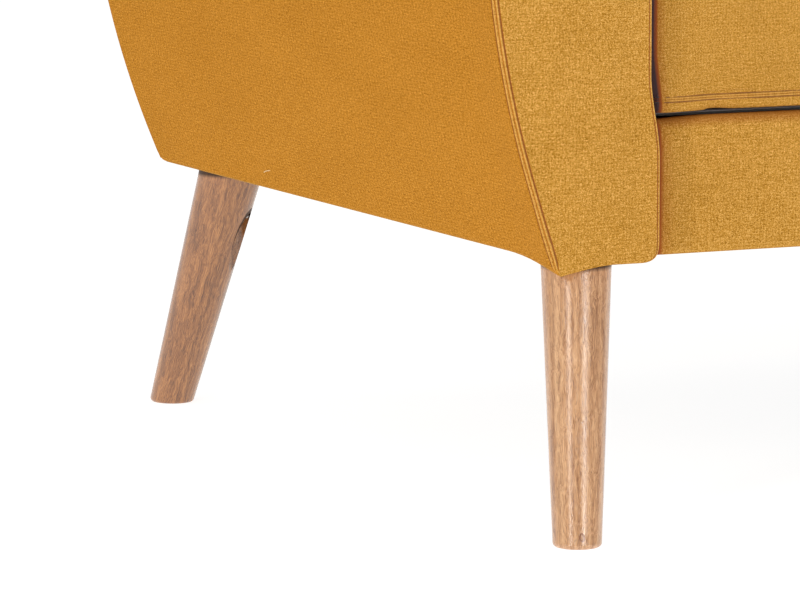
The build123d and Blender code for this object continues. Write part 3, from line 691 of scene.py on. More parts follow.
def arm_cover():
    """The left arm's whole skin: front panel, wrapped sides and rear panel, with the seams between them."""
    outline = arm_outline()
    inward = soften_loop(inward_from(outline), 26)
    low, high = outline.min(axis=0), outline.max(axis=0)
    foot_x = outline[outline[:, 1] < low[1] + 1 * MM][:, 0].min() - ARM_FOOT_OUTER_ROUND
    inner_side = smooth((outline[:, 0] - (high[0] - 14 * MM)) / (10 * MM))
    foot_side = 1 - smooth((outline[:, 1] - low[1]) / (5 * MM))
    twin = (1 - inner_side) * (1 - foot_side)
    single = inner_side * (1 - foot_side)
    spine_z = np.clip(outline[:, 1], low[1] + 50 * MM, high[1] - 50 * MM)
    spine_x = SPINE_X + (spine_z - low[1]) * SPINE_LEAN
    spine = np.stack([spine_x, spine_z], axis=1)
    front = corner("arm_front_cover_left", 0)[1]
    rear_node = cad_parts["arm_rear_cover_left"]
    rear_points = coordinates(rear_node)
    top_rear = rear_points[rear_points[:, 2] > high[1] - 30 * MM][:, 1].max()
    low_rear = rear_points[rear_points[:, 2] < low[1] + 0.5 * MM][:, 1].max()
    lean = (top_rear - low_rear) / (high[1] - low[1])

    def rear_at(z):
        return low_rear + (z - low[1]) * lean

    radius = FOLD_EDGE_ROUND + (SEAM_EDGE_ROUND - FOLD_EDGE_ROUND) * twin
    half_arc = radius * math.pi / 4
    reach = radius + SEAM_REACH - half_arc
    edge = outline + inward * reach[:, None]
    rings, shading_by_ring = [], []
    for t in np.linspace(0.8, 0.1, 8):
        crown = PANEL_CROWN * smooth(t * 1.6)
        rings.append(upright(edge * (1 - t) + spine * t, front - crown))
        shading_by_ring.append(np.zeros(len(outline)))
    fine = np.linspace(-4.4, 4.4, 33) * MM
    widths = np.concatenate([[-SEAM_REACH, -7 * MM, -5.5 * MM], fine, [5.5 * MM, 7 * MM, SEAM_REACH]])

    def corner_place(w):
        """Inset, depth and outward direction on the rounded edge, at a distance w along the cloth."""
        angle = np.clip((w + half_arc) / radius, 0, math.pi / 2)
        inset = radius * (1 - np.sin(angle)) + np.clip(-w - half_arc, 0, None)
        depth = radius * (1 - np.cos(angle)) + np.clip(w - half_arc, 0, None)
        return inset, depth, np.sin(angle), -np.cos(angle)

    for w in widths:
        inset, depth, out, forward = corner_place(w)
        height = twin * seam_profile(w) + single * edge_profile(w)
        flat = outline + inward * (inset - height * out)[:, None]
        rings.append(upright(flat, front + depth + height * forward))
        # Painted shade along the front seams' stitches, painted highlights on their ridges
        shading_by_ring.append(twin * seam_painted_shading(w) + single * edge_painted_shading(w))
    for share in np.linspace(0.004, 0.996, 56):
        y0, y1 = front + reach, rear_at(outline[:, 1]) - reach
        rings.append(upright(outline, y0 + (y1 - y0) * share))
        # Painted shade over the arm's inner side, which faces the seat
        shading_by_ring.append(single * 0.55)
    for w in widths[::-1]:
        inset, depth, out, forward = corner_place(w)
        height = (twin + single) * edge_profile(w)
        flat = outline + inward * (inset - height * out)[:, None]
        rings.append(upright(flat, rear_at(flat[:, 1]) - depth - height * forward))
        # Painted shade along the rear panel's row of stitches
        shading_by_ring.append((twin + single) * bump_at(w, -FOLD_STITCH, 0.8, 0.5 * MM))
    for t in np.linspace(0.1, 0.8, 7):
        flat = edge * (1 - t) + spine * t
        rings.append(upright(flat, rear_at(flat[:, 1]) + PANEL_CROWN * 0.5 * smooth(t * 1.6)))
        shading_by_ring.append(np.zeros(len(outline)))
    points, faces = loft(rings)
    faces += end_faces(rings)
    piece = mesh_piece("arm_cover_left", points, faces, MUSTARD, crease=np.concatenate(shading_by_ring))
    set_coordinates(piece, settle_arm(coordinates(piece), front, foot_x, low, high, rear_at))
    lines = []
    for w, share in ((-NEEDLE_GAP, twin), (NEEDLE_GAP, twin), (-FOLD_STITCH, single)):
        inset, depth, out, forward = corner_place(w)
        height = seam_profile(w) if share is twin else edge_profile(w)
        flat = outline + inward * (inset - height * out)[:, None]
        line = upright(flat, front + depth + height * forward)
        up = np.stack([-inward[:, 0] * out, forward, -inward[:, 1] * out], axis=1)
        chosen = np.flatnonzero(share > 0.5)
        gap = np.flatnonzero(np.diff(chosen) > 1)
        if len(gap):
            chosen = np.roll(chosen, -(gap[0] + 1))
        lines.append((settle_arm(line[chosen], front, foot_x, low, high, rear_at), up[chosen]))
    return piece, lines


def settle_arm(points, front, foot_x, low, high, rear_at):
    """The cloth's unevenness: a low front corner, a flared inner edge, a soft rear foot, faint waves."""
    x, y, z = points.T.copy()
    behind = y - front
    height = z - low[1]
    inboard = x - (foot_x + TIP_INBOARD)
    past_tip = TIP_DROOP * np.clip(1 - inboard / TIP_WIDTH, 0, 1) ** 1.6
    before_tip = np.maximum(TIP_DROOP + inboard * 0.53, TIP_DROOP - TIP_INBOARD * 0.53)
    droop = FRONT_DROOP + np.where(inboard > 0, past_tip, before_tip)
    droop = droop * np.clip(1 - behind / DROOP_LENGTH, 0, 1) ** 1.5
    z = z - droop * (1 - smooth(height / (55 * MM)))
    flare = smooth((130 * MM - height) / (60 * MM)) * smooth((height + 20 * MM) / (34 * MM))
    near_front = 1 - smooth((behind - 8 * MM) / (17 * MM))
    inner_share = smooth((x - (high[0] - 22 * MM)) / (20 * MM))
    x = x + FLARE * flare * near_front * inner_share
    outer_side = smooth((high[0] - 50 * MM - x) / (30 * MM))
    x = x - FRONT_SWELL * outer_side * (1 - smooth(behind / (60 * MM)))
    back_y = rear_at(z)
    u = (y - (back_y - REAR_FOOT_ROUND)) / REAR_FOOT_ROUND
    v = (low[1] + REAR_FOOT_ROUND - z) / REAR_FOOT_ROUND
    size = np.sqrt(np.clip(u, 0, None) ** 2 + np.clip(v, 0, None) ** 2)
    outside = (u > 0) & (v > 0) & (size > 1)
    pull = np.where(outside, size, 1)
    y = np.where(outside, back_y - REAR_FOOT_ROUND + u / pull * REAR_FOOT_ROUND, y)
    z = np.where(outside, low[1] + REAR_FOOT_ROUND - v / pull * REAR_FOOT_ROUND, z)
    wave = np.array([noise.noise(Vector((a * 9, b * 7, c * 7))) for a, b, c in zip(x, y, z)])
    x = x + np.where(x < -0.66, wave * 0.9 * MM, 0) * smooth(height / (30 * MM))
    return np.stack([x, y, z], axis=1)


def make_arms():
    """Both arms' covers with their rows of stitches."""
    cover, lines = arm_cover()
    lay_weave(cover)
    for side in ("left", "right"):
        piece = cover if side == "left" else mirror_piece(cover, "arm_cover_right")
        parts = ("side_cover", "inner_cover", "front_cover", "rear_cover", "front_foam", "foam")
        nodes = [f"arm_{part}_{side}" for part in parts]
        finish_piece(piece, "frame", "upholstery_fabric", *nodes, fill=0.9)
        flip = np.array([1 if side == "left" else -1, 1, 1])
        for number, (line, up) in enumerate(lines):
            stitch_row(f"arm_stitches_{side}_{number}", line * flip, up * flip, "frame")


# Front rail


def make_front_rail():
    """The covered front rail: a flat face that rolls over at its top."""
    low, high = box_of("front_rail_cover")
    front, back, bottom, top = low[1], high[1], low[2] - 2.2 * MM, high[2] - 1 * MM
    half = (high[0] - low[0]) / 2 + 1.5 * MM
    roll = 8 * MM
    section = [
        (back, bottom),
        (front + 3 * MM, bottom - 0.6 * MM),
        (front + 0.8 * MM, bottom + 0.4 * MM),
        (front, bottom + 3 * MM),
        (front - 0.3 * MM, bottom + 40 * MM),
        (front - 0.2 * MM, top - 26 * MM),
        (front - 0.8 * MM, top - 15 * MM),
    ]
    angles = np.radians(np.linspace(180, 70, 12))
    centre = (front + roll - 0.8 * MM, top - roll)
    section += [(centre[0] + roll * math.cos(a), centre[1] + roll * math.sin(a)) for a in angles]
    section += [(front + 18 * MM, top - 1 * MM), (back, top - 2.5 * MM)]
    section = resample(section, 2.0 * MM, closed=True)
    rings, shading_by_ring = [], []
    ends = half - 40 * MM * np.linspace(0, 1, 24) ** 1.5
    for x in np.concatenate([-ends, np.linspace(-ends[-1], ends[-1], 160)[1:-1], ends[::-1]]):
        sway = [noise.noise(Vector((x * 6, 3.1, z * 10))) for _, z in section]
        face = smooth((section[:, 1] - bottom) / (20 * MM))
        tuck = 5 * MM * (1 - smooth((half - abs(x)) / (26 * MM)))
        y = section[:, 0] + np.array(sway) * 0.7 * MM * face + tuck
        inside = half - abs(x)
        near_end = 1 - smooth(inside / (60 * MM))
        sink = 2.2 * MM * near_end * smooth((section[:, 1] - top + 40 * MM) / (30 * MM))
        rings.append(np.stack([np.full(len(section), x), y, section[:, 1] - sink], axis=1))
        # Painted shade: on the top of the roll under the cushion's overhang, and in the slit beside the arm
        # at each end
        roll_shade = 0.42 * smooth((section[:, 1] - (top - 9 * MM)) / (7 * MM))
        hidden = 12.5 * MM + FLARE * smooth((bottom + 132 * MM - section[:, 1]) / (60 * MM))
        slit = smooth((inside - hidden + 6 * MM) / (3 * MM)) * (1 - smooth((inside - hidden) / (3 * MM)))
        end_shade = 1.2 * slit + 0.3 * (1 - smooth((inside - hidden) / (14 * MM)))
        shading_by_ring.append(np.maximum(roll_shade, end_shade))
    points, faces = loft(rings)
    faces += end_faces(rings)
    piece = mesh_piece("front_rail_upholstery", points, faces, MUSTARD, crease=np.concatenate(shading_by_ring))
    lay_weave(piece, 0.6)
    finish_piece(piece, "frame", "upholstery_fabric", "front_rail_cover", "front_rail_foam", fill=0.8)


# Sheets: deck lining and dust lining


def flat_sheet(name, x, y, z, thickness, step, sag, material):
    """A thin closed sheet with a slight sag and ripple."""
    xs = np.linspace(x[0], x[1], max(2, round((x[1] - x[0]) / step)))
    ys = np.linspace(y[0], y[1], max(2, round((y[1] - y[0]) / step)))
    points = []
    for level in (0, -thickness):
        for b in ys:
            for a in xs:
                edge = min(a - x[0], x[1] - a, b - y[0], y[1] - b)
                ripple = noise.noise(Vector((a * 11, b * 11, z * 40))) * sag * 0.4
                points.append((a, b, z + level + (ripple - sag) * smooth(edge / (90 * MM))))
    wide, deep = len(xs), len(ys)
    faces = []
    for j in range(deep - 1):
        for i in range(wide - 1):
            a = j * wide + i
            faces.append((a, a + 1, a + 1 + wide, a + wide))
            b = a + wide * deep
            faces.append((b, b + wide, b + 1 + wide, b + 1))
    under = wide * deep
    for i in range(wide - 1):
        for a in (i, (deep - 1) * wide + i):
            faces.append((a, a + under, a + 1 + under, a + 1))
    for j in range(deep - 1):
        for a in (j * wide, j * wide + wide - 1):
            faces.append((a, a + wide, a + wide + under, a + under))
    piece = mesh_piece(name, points, faces, material)
    lay_weave(piece)
    return piece


def make_sheets():
    """The lining stretched over the springs' felt, and the dust cloth stretched under the seat."""
    low, high = box_of("deck_cloth")
    rail_front = corner("front_rail_cover", 0)[1]
    half = high[0] - 1 * MM
    y = (rail_front + 13 * MM, high[1] - 1 * MM)
    deck = flat_sheet("deck_lining", (-half, half), y, high[2] - 0.2 * MM, 0.6 * MM, 14 * MM, 0.5 * MM, DECK)
    finish_piece(deck, "frame", "deck_cloth", "deck_cloth")
    low, high = box_of("dust_cloth")
    half = high[0] + 1 * MM
    y = (low[1] + 4 * MM, high[1] - 3 * MM)
    dust = flat_sheet("dust_lining", (-half, half), y, low[2] + 0.4 * MM, 0.5 * MM, 14 * MM, 1.5 * MM, BLACK)
    finish_piece(dust, "frame", "dust_cloth", "dust_cloth")


# Cushions


def pad_from(node, name, voxel, shrink):
    """A copy of a CAD filling, remeshed evenly and drawn in a little, ready to be inflated."""
    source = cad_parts[node]
    mesh = source.data.copy()
    mesh.name = name
    piece = new_object(name, mesh)
    points = coordinates(piece)
    centre = (points.min(axis=0) + points.max(axis=0)) / 2
    half = (points.max(axis=0) - points.min(axis=0)) / 2
    set_coordinates(piece, centre + (points - centre) * (1 - np.array(shrink) / half))
    remesh = piece.modifiers.new("even", "REMESH")
    remesh.mode = "VOXEL"
    remesh.voxel_size = voxel
    apply_modifiers(piece)
    return piece


def apply_modifiers(piece):
    """Turns a piece's modifiers into its mesh."""
    graph = bpy.context.evaluated_depsgraph_get()
    mesh = bpy.data.meshes.new_from_object(piece.evaluated_get(graph))
    piece.modifiers.clear()
    piece.data = mesh


def inflate(piece, pressure, cap, frames=20):
    """Blows a closed cloth up from inside, and keeps each point within cap of where it began."""
    rest = coordinates(piece)
    cloth = piece.modifiers.new("cloth", "CLOTH")
    cloth.settings.quality = 5
    cloth.settings.mass = 0.3
    cloth.settings.tension_stiffness = 15
    cloth.settings.compression_stiffness = 15
    cloth.settings.shear_stiffness = 5
    cloth.settings.bending_stiffness = 0.5
    cloth.settings.use_pressure = True
    cloth.settings.uniform_pressure_force = pressure
    cloth.settings.effector_weights.gravity = 0
    for number in range(1, frames + 1):
        scene.frame_set(number)
    graph = bpy.context.evaluated_depsgraph_get()
    blown = piece.evaluated_get(graph).data
    flat = np.zeros(len(blown.vertices) * 3)
    blown.vertices.foreach_get("co", flat)
    piece.modifiers.clear()
    scene.frame_set(1)
    move = flat.reshape(-1, 3) - rest
    size = np.linalg.norm(move, axis=1)
    set_coordinates(piece, rest + move * np.minimum(1, cap / np.maximum(size, 1e-9))[:, None])


def soft_limit(values, limit, ease, above=True):
    """Eases values to a limit, so that a rounded surface is pressed flat there."""
    sign = 1 if above else -1
    past = sign * (values - limit) + ease
    eased = np.where(past > 0, ease * (1 - np.exp(-np.clip(past, 0, None) / ease)), past)
    return limit + sign * (eased - ease)


def subdivide_once(piece):
    """One subdivision, for an even curve between the simulated points."""
    subdivide = piece.modifiers.new("smooth", "SUBSURF")
    subdivide.levels = subdivide.render_levels = 1
    apply_modifiers(piece)


def square_front_edge(piece, front, bottom, reach, power):
    """Draws a cushion's rounded lower front edge out into a crisp one, as its sewn edge is."""
    points = coordinates(piece)
    near = (points[:, 2] < bottom + 3 * reach) & (points[:, 1] < front + 3 * reach)
    bins = np.round(points[:, 0] / (12 * MM)).astype(int)
    lowest = {b: points[near & (bins == b), 1].min() for b in np.unique(bins[near])}
    keys = np.array(sorted(lowest))
    nearest = np.interp(points[:, 0] / (12 * MM), keys, np.array([lowest[k] for k in keys]))
    u = np.clip((nearest + reach - points[:, 1]) / reach, 0, None)
    v = np.clip((bottom + reach - points[:, 2]) / reach, 0, None)
    grow = np.sqrt(u**2 + v**2) / np.maximum((u**power + v**power) ** (1 / power), 1e-6)
    grow = np.where((u > 0) & (v > 0), np.maximum(grow, 1), 1)
    points[:, 1] = np.where(grow > 1, nearest + reach - u * reach * grow, points[:, 1])
    points[:, 2] = np.where(grow > 1, bottom + reach - v * reach * grow, points[:, 2])
    points[:, 2] = np.maximum(points[:, 2], bottom)
    set_coordinates(piece, points)


def mark_beside_arm(piece, front):
    """Stores how near a point is to the slit between a cushion's front corner and the arm, 1 in the slit, for
    the painted shade there.
    """
    points = coordinates(piece)
    arm_low, arm_high = box_of("arm_front_cover_left")
    flare = 0.2 * FLARE * smooth((arm_low[2] + 116 * MM - points[:, 2]) / (30 * MM))
    inside = points[:, 0] - arm_high[0] - flare
    nearness = 1 - (inside - 14 * MM) / (11 * MM)
    nearness = np.minimum(nearness, (front + 30 * MM - points[:, 1]) / (10 * MM))
    values = piece.data.attributes.new("beside_arm", "FLOAT", "POINT").data
    values.foreach_set("value", nearness)


def dress_pad(piece, turn):
    """Gives an inflated pad its cloth."""
    piece.data.materials.clear()
    piece.data.materials.append(MUSTARD)
    piece.data.polygons.foreach_set("use_smooth", [True] * len(piece.data.polygons))
    lay_weave(piece, turn)


def surface_of(piece):
    """A search tree of a mesh object's surface."""
    work = bmesh.new()
    work.from_mesh(piece.data)
    tree = BVHTree.FromBMesh(work)
    work.free()
    return tree


def ring_on(tree, centre, axis_u, axis_v, half_u, half_v, count=420):
    """Points and normals of a ring round a cushion's sides, found by looking in from a rounded rectangle."""
    places, normals = [], []
    for angle in np.linspace(0, 2 * math.pi, count, endpoint=False):
        u, v = math.cos(angle) / half_u, math.sin(angle) / half_v
        reach = max(abs(u), abs(v))
        share_u, share_v = u / reach, v / reach
        outward = axis_u * share_u * half_u + axis_v * share_v * half_v
        inward = -(axis_u * share_u * abs(share_u) ** 6 + axis_v * share_v * abs(share_v) ** 6)
        inward = inward / np.linalg.norm(inward)
        hit, normal, _, _ = tree.ray_cast(Vector(centre + outward - inward * 0.06), Vector(inward), 0.2)
        if hit is not None:
            places.append(np.array(hit))
            normals.append(np.array(normal))
    return np.array(places), np.array(normals)


def make_cushions():
    """The loose cushions, inflated on the left and mirrored to the right."""
    pressure, cap = 4.0, 22 * MM
    for part, shrink in (("seat", (3 * MM, 3 * MM, 5 * MM)), ("back", (3 * MM, 4 * MM, 4 * MM))):
        node = f"{part}_cushion_foam_left"
        low, high = box_of(f"{part}_cushion_cover_left")
        pad = pad_from(node, f"{part}_cushion_left", 9 * MM, shrink)
        inflate(pad, pressure, cap)
        points = coordinates(pad)
        solid = coordinates(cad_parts[f"{part}_cushion_cover_left"])
        axes = (AXIS_X, AXIS_Y) if part == "seat" else (AXIS_X, SLOPE_UP)
        for axis, spare in zip(axes, (3 * MM, 0.5 * MM)):
            points = stretch_along(points, solid, axis, spare)
        if part == "seat":
            points[:, 2] = soft_limit(points[:, 2], low[2] + 0.2 * MM, 4 * MM, above=False)
            points[:, 2] = soft_limit(points[:, 2], high[2] + 12 * MM, 14 * MM)
        set_coordinates(pad, points)
        press_on_back(pad, part)
        subdivide_once(pad)
        if part == "seat":
            square_front_edge(pad, low[1], low[2] + 0.2 * MM, 46 * MM, 9)
            mark_beside_arm(pad, low[1])
        dress_pad(pad, 0.15 if part == "seat" else 0.45)
        twin = mirror_piece(pad, f"{part}_cushion_right")
        for side, piece in (("left", pad), ("right", twin)):
            nodes = [f"{part}_cushion_cover_{side}", f"{part}_cushion_foam_{side}"]
            finish_piece(piece, f"{part}_cushion_{side}", "upholstery_fabric", *nodes, fill=0.85)
        for row in sew_cushion(pad, part, f"{part}_cushion_left"):
            if part == "seat":
                mark_beside_arm(row, low[1])
            other = mirror_piece(row, row.name.replace("_left", "_right"))
            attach(other, f"{part}_cushion_right")


def stretch_along(points, solid, axis, spare):
    """Brings an inflated cushion back to its cover's size along one axis, less a little at each end."""
    have, want = points @ axis, solid @ axis
    low, high = want.min() + spare, want.max() - spare
    share = (have - have.min()) / (have.max() - have.min())
    return points + (low + share * (high - low) - have)[:, None] * axis


def press_on_back(pad, part):
    """Flattens a cushion where it meets the leaning back, the deck or the cushion behind it."""
    points = coordinates(pad)
    solid = coordinates(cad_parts[f"{part}_cushion_cover_left"])
    depth = points @ SLOPE_BACK
    rear = (solid @ SLOPE_BACK).max()
    front = (solid @ SLOPE_BACK).min()
    pressed = soft_limit(depth, rear + 0.2 * MM, 5 * MM)
    if part == "back":
        pressed = soft_limit(pressed, front - 13 * MM, 15 * MM, above=False)
    points += (pressed - depth)[:, None] * SLOPE_BACK
    if part == "back":
        up = points @ SLOPE_UP
        top = (solid @ SLOPE_UP).max()
        points += (soft_limit(up, top + 6 * MM, 8 * MM) - up)[:, None] * SLOPE_UP
        points[:, 2] = soft_limit(points[:, 2], solid[:, 2].min() + 0.2 * MM, 4 * MM, above=False)
    set_coordinates(pad, points)


def sew_cushion(piece, part, body):
    """Twin-needle seams round the two edges of a cushion's boxing."""
    points = coordinates(piece)
    tree = surface_of(piece)
    low, high = points.min(axis=0), points.max(axis=0)
    middle_x = AXIS_X * (low[0] + high[0]) / 2
    half_x = (high[0] - low[0]) / 2
    if part == "seat":
        deep, tall = AXIS_Y, AXIS_Z
        solid_low, solid_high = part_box("seat_cushion_cover_left")
        levels = (solid_low.z + 9.4 * MM, solid_high.z - 9 * MM)
    else:
        deep, tall = SLOPE_UP, SLOPE_BACK
        thickness = points @ tall
        levels = (thickness.min() + 24 * MM, thickness.max() - 9 * MM)
    spread = points @ deep
    middle = middle_x + deep * (spread.min() + spread.max()) / 2
    half_deep = (spread.max() - spread.min()) / 2
    rows = []
    for word, level in zip(("first", "second"), levels):
        places, normals = ring_on(tree, middle + tall * level, AXIS_X, deep, half_x, half_deep)
        rows += seam_band(f"{part}_seam_{word}_left", places, normals, body)
    return rows


# Back


def make_back():
    """The upholstered back: a wedge with rounded shoulders, and the flat panel that closes its rear."""
    cover_low, cover_high = box_of("back_front_cover")
    source = coordinates(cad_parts["back_front_cover"])
    bottom, top = cover_low[2], cover_high[2]
    half = cover_high[0]
    front_low = source[source[:, 2] < bottom + 1 * MM][:, 1].min()
    shoulder = 40 * MM
    rear = coordinates(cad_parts["back_rear_cover"])
    rear_top = rear[:, 1].max()
    rear_low = rear[rear[:, 2] < rear[:, 2].min() + 1 * MM][:, 1].max()
    rear_bottom = rear[:, 2].min()
    lean = (rear_top - rear_low) / (top - rear_bottom)

    def front_at(z):
        return front_low + (z - bottom) * math.tan(SEAT_LEAN)

    def rear_at(z):
        return rear_low + (z - rear_bottom) * lean

    def outline(inset, foot):
        r = max(shoulder - inset, 2 * MM)
        x, z = half - inset, top - inset
        parts = [
            np.array([[-x, foot]]),
            quarter((-x + r, z - r), r, 180),
            quarter((x - r, z - r), r, 90),
            np.array([[x, foot]]),
        ]
        return resample(np.vstack(parts), 5 * MM, closed=True)

    base = outline(0, bottom)
    inward = inward_from(base)
    lower = smooth((base[:, 1] - bottom) / (30 * MM))
    spine_x = np.clip(base[:, 0], -half + 120 * MM, half - 120 * MM)
    spine = np.stack([spine_x, np.full(len(base), (bottom + top) / 2)], axis=1)

    round_off = 22 * MM
    rings = []
    inner = base + inward * round_off
    for t in np.linspace(0.85, 0.05, 14):
        flat = inner * (1 - t) + spine * t
        rings.append(upright(flat, front_at(flat[:, 1]) - 7 * MM * smooth(t * 1.5)))
    for angle in np.radians(np.linspace(0, 90, 12)):
        inset = round_off * (1 - math.sin(angle))
        flat = base + inward * inset
        rings.append(upright(flat, front_at(flat[:, 1]) + round_off * (1 - math.cos(angle)) * lower))
    for share in np.linspace(0.2, 0.9, 8):
        y0, y1 = front_at(base[:, 1]) + round_off * lower, rear_at(base[:, 1]) - 3 * MM
        rings.append(upright(base, y0 + (y1 - y0) * share))
    for angle in np.radians(np.linspace(90, 0, 6)):
        flat = base + inward * 3 * MM * (1 - math.sin(angle))
        rings.append(upright(flat, rear_at(flat[:, 1]) - 3 * MM * (1 - math.cos(angle)) - 1.5 * MM))
    for t in np.linspace(0.1, 0.85, 6):
        flat = (base + inward * 3 * MM) * (1 - t) + spine * t
        rings.append(upright(flat, rear_at(flat[:, 1]) - 1.5 * MM))
    points, faces = loft(rings)
    faces += end_faces(rings)
    piece = mesh_piece("back_upholstery", points, faces, MUSTARD)
    lay_weave(piece, 0.8)
    finish_piece(piece, "frame", "upholstery_fabric", "back_front_cover", "back_foam", fill=0.85)
    make_rear_panel(rear_bottom, top, half, rear_at)


def make_rear_panel(bottom, top, half, rear_at):
    """The panel that closes the rear, sewn down all round with one row of stitches."""
    x1, z0, z1, r = half - 3 * MM, bottom + 1 * MM, top - 4 * MM, 36 * MM
    parts = [
        bend((-x1 + 4 * MM, z0), (-x1, z0), (-x1, z0 + 4 * MM)),
        quarter((-x1 + r, z1 - r), r, 180),
        quarter((x1 - r, z1 - r), r, 90),
        bend((x1, z0 + 4 * MM), (x1, z0), (x1 - 4 * MM, z0)),
    ]
    base = resample(np.vstack(parts), 4 * MM, closed=True)
    inward = inward_from(base)
    spine_x = np.clip(base[:, 0], -half + 250 * MM, half - 250 * MM)
    spine = np.stack([spine_x, np.full(len(base), (z0 + z1) / 2)], axis=1)
    edge = base + inward * 8 * MM
    rings = []

    def raised(flat, rise):
        return upright(flat, rear_at(flat[:, 1]) + rise)

    for t in np.linspace(0.85, 0, 8):
        rings.append(raised(edge * (1 - t) + spine * t, -6 * MM))
    folded_edge = ((2.5, -6), (0.6, -5.4), (0, -4), (0, -1), (0.5, 0.2), (1.6, 0.8), (3.2, 0.9))
    stitch_groove = ((4.4, 0.5), (5, 0.1), (5.6, 0.5), (7, 1.0))
    for inset, rise in folded_edge + stitch_groove:
        rings.append(raised(base + inward * inset * MM, rise * MM))
    for t in np.linspace(0.02, 0.85, 20):
        rings.append(raised(edge * (1 - t) + spine * t, (1 + 1.5 * smooth(t * 1.4)) * MM))
    points, faces = loft(rings)
    faces += end_faces(rings)
    piece = mesh_piece("rear_panel", points, faces, MUSTARD)
    lay_weave(piece, 0.9)
    finish_piece(piece, "frame", "upholstery_fabric", "back_rear_cover", fill=0.6)
    line = raised(base + inward * 5 * MM, 0.15 * MM)
    stitch_row("rear_panel_stitches", line, np.tile(AXIS_Y, (len(line), 1)), "frame", closed=True)


# CAD nodes that stay in sight


def paint(material, *names):
    """Gives CAD nodes a better material, without touching their meshes."""
    for name in names:
        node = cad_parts[name]
        node.data.materials.clear()
        node.data.materials.append(material)


# A leg's dark, middle and pale grain, then its flecks and the painted shade in its bolt pocket
FRONT_LEG_TONES = (
    (0.22, 0.098, 0.045),
    (0.545, 0.315, 0.170),
    (0.80, 0.55, 0.36),
    (0.13, 0.052, 0.02),
    (0.10, 0.05, 0.03),
)
# The rear legs: the same beech with darker, more saturated tones, painted shade for legs that stand further
# back under the sofa
REAR_LEG_SHADED_TONES = (
    (0.11, 0.038, 0.012),
    (0.375, 0.165, 0.054),
    (0.66, 0.34, 0.13),
    (0.06, 0.020, 0.007),
    (0.03, 0.012, 0.006),
)


def paint_cad_nodes():
    """Materials for the legs, the frame and the fixings."""
    for name in ("front_left", "front_right", "rear_left", "rear_right"):
        low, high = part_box(f"leg_{name}")
        side = -1 if "left" in name else 1
        row = -1 if "front" in name else 1
        top_x = high.x - LEG_TOP_REACH if side < 0 else low.x + LEG_TOP_REACH
        top_y = high.y - LEG_TOP_REACH if row < 0 else low.y + LEG_TOP_REACH
        foot_x = low.x + LEG_FOOT_REACH if side < 0 else high.x - LEG_FOOT_REACH
        foot_y = low.y + LEG_FOOT_REACH if row < 0 else high.y - LEG_FOOT_REACH
        foot, top = (foot_x, foot_y, low.z), (top_x, top_y, high.z)
        bolt = (top_x - side * BOLT_INSET, top_y)
        knot = (foot_x - 4 * MM, foot_y - 16 * MM, 9 * MM) if name == "front_left" else None
        tones = FRONT_LEG_TONES if row < 0 else REAR_LEG_SHADED_TONES
        shadow_from = high.z - (7 * MM if row < 0 else 5.5 * MM)
        paint(leg_timber(f"beech_{name}", foot, top, bolt, shadow_from, tones, knot), f"leg_{name}")
    paint(SOFTWOOD, "front_rail", "rear_rail", "centre_rail", "corner_braces")
    paint(SOFTWOOD, "back_posts", "back_top_rail", "back_lumbar_rails", "leg_dowels")
    for side in ("left", "right"):
        paint(SOFTWOOD, f"side_rail_{side}", f"arm_base_rail_{side}")
        paint(PLY, *(f"arm_{board}_board_{side}" for board in ("front", "rear", "top")))
        paint(HARDBOARD, f"arm_liner_{side}")
    paint(ZINC, "leg_washers", "leg_tee_nuts", "arm_bolts", "back_bolts")
    paint(black_bolt("black_bolt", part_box("leg_bolts")[0].z + 1 * MM), "leg_bolts")
    paint(WIRE, "seat_springs", "spring_clips")
    paint(STRAP, "back_webbing")
    paint(FELT, "deck_felt")


def make_stray_thread():
    """A loose end of pale thread that lies on the arm's outer side."""
    tree = surface_of(bpy.data.objects["arm_cover_left"])
    path, normals = [], []
    for share in np.linspace(0, 1, 7):
        height = 0.2060 + 2.6 * MM * share + 0.5 * MM * math.sin(share * 3)
        origin = Vector((-0.9, 0.121 - 13 * MM * share, height))
        hit, normal, _, _ = tree.ray_cast(origin, Vector((1, 0, 0)))
        path.append(np.array(hit) + np.array(normal) * 0.2 * MM)
        normals.append(np.array(normal))
    stitch_row("stray_thread", path, normals, "frame", PALE_THREAD, pitch=2.4 * MM)


# Stage, lights and camera


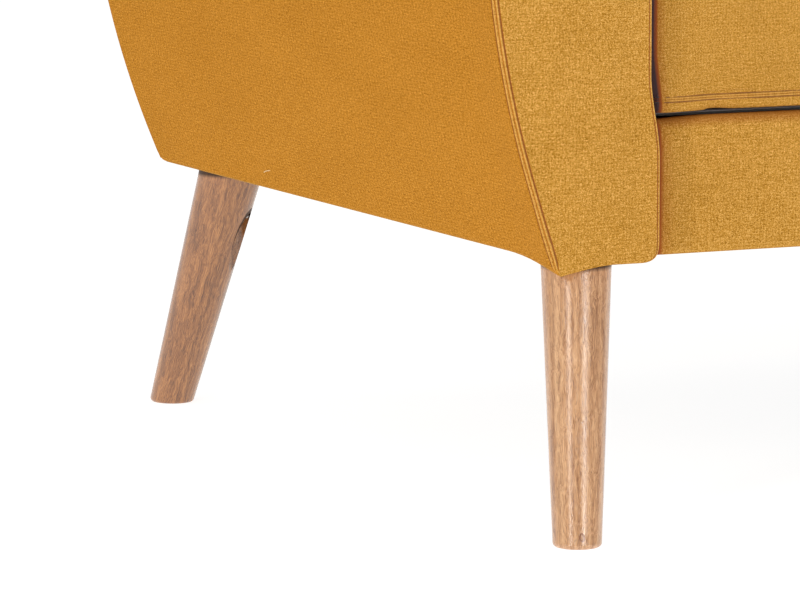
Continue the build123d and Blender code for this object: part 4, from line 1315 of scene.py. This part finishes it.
def make_stage():
    """A pale floor that glows a little, in a dim white room."""
    mesh = bpy.data.meshes.new("floor")
    size = 14.0
    corners = [(-size, -size, 0), (size, -size, 0), (size, size, 0), (-size, size, 0)]
    mesh.from_pydata(corners, [], [(0, 1, 2, 3)])
    floor = new_object("floor", mesh)
    material, shader, add = material_nodes("pale_floor")
    place = add("TexCoord").outputs["Object"]
    speck = stretched_noise(add, place, (0.4, 0.4, 0.4), 2)
    tone = ramp(add, speck, (0.3, (0.38, 0.38, 0.38)), (0.7, (0.42, 0.42, 0.42)))
    glow = {"Emission Color": (1, 1, 1, 1), "Emission Strength": 0.88}
    mesh.materials.append(connect(material, shader, {"Base Color": tone, "Roughness": 0.9, **glow}))
    world = bpy.data.worlds.new("studio")
    scene.world = world
    world.use_nodes = True
    world.node_tree.nodes["Background"].inputs[0].default_value = (1, 1, 1, 1)
    world.node_tree.nodes["Background"].inputs[1].default_value = 0.35


def add_light(name, place, target, size, power, colour=(1, 1, 1)):
    light = bpy.data.lights.new(name, "AREA")
    light.shape = "RECTANGLE"
    light.size, light.size_y = size
    light.energy = power
    light.color = colour
    lamp = bpy.data.objects.new(name, light)
    scene.collection.objects.link(lamp)
    lamp.location = place
    lamp.rotation_euler = (Vector(target) - Vector(place)).to_track_quat("-Z", "Y").to_euler()


def make_lights():
    """Two tall soft boxes either side of the camera, and a broad one overhead."""
    leg = np.array([-0.68, -0.40, 0.1])
    boxes = (("left_box", -57, 23, (1.0, 0.96, 0.9)), ("right_box", 7, 31, (1.0, 0.98, 0.94)))
    for name, azimuth, power, colour in boxes:
        angle = math.radians(azimuth)
        place = leg + 3.0 * np.array([math.sin(angle), -math.cos(angle), 0]) + np.array([0, 0, 1.0])
        add_light(name, place, leg + np.array([0, 0, 0.5]), (0.42, 2.2), power, colour)
    add_light("side_fill", (-4.2, 0.5, 1.3), (-0.7, 0, 0.35), (2.4, 2.4), 26, (1.0, 0.82, 0.55))
    add_light("top", (-0.3, -1.0, 3.2), (0, 0, 0.3), (3.0, 2.4), 20)


def make_camera():
    """The camera that looks at the sofa's lower left front corner from afar."""
    level, rise = math.cos(CAMERA_ELEVATION), math.sin(CAMERA_ELEVATION)
    back = Vector((math.sin(CAMERA_AZIMUTH) * level, -math.cos(CAMERA_AZIMUTH) * level, rise))
    data = bpy.data.cameras.new("camera")
    data.sensor_width = CAMERA_SENSOR
    data.lens = CAMERA_LENS
    data.clip_end = 60
    camera = bpy.data.objects.new("camera", data)
    scene.collection.objects.link(camera)
    camera.location = CAMERA_PLACE
    camera.rotation_euler = back.to_track_quat("Z", "Y").to_euler()
    scene.camera = camera


make_arms()
make_front_rail()
make_sheets()
make_cushions()
make_back()
paint_cad_nodes()
make_stray_thread()
make_stage()
make_lights()
make_camera()
scene.view_settings.view_transform = "Standard"
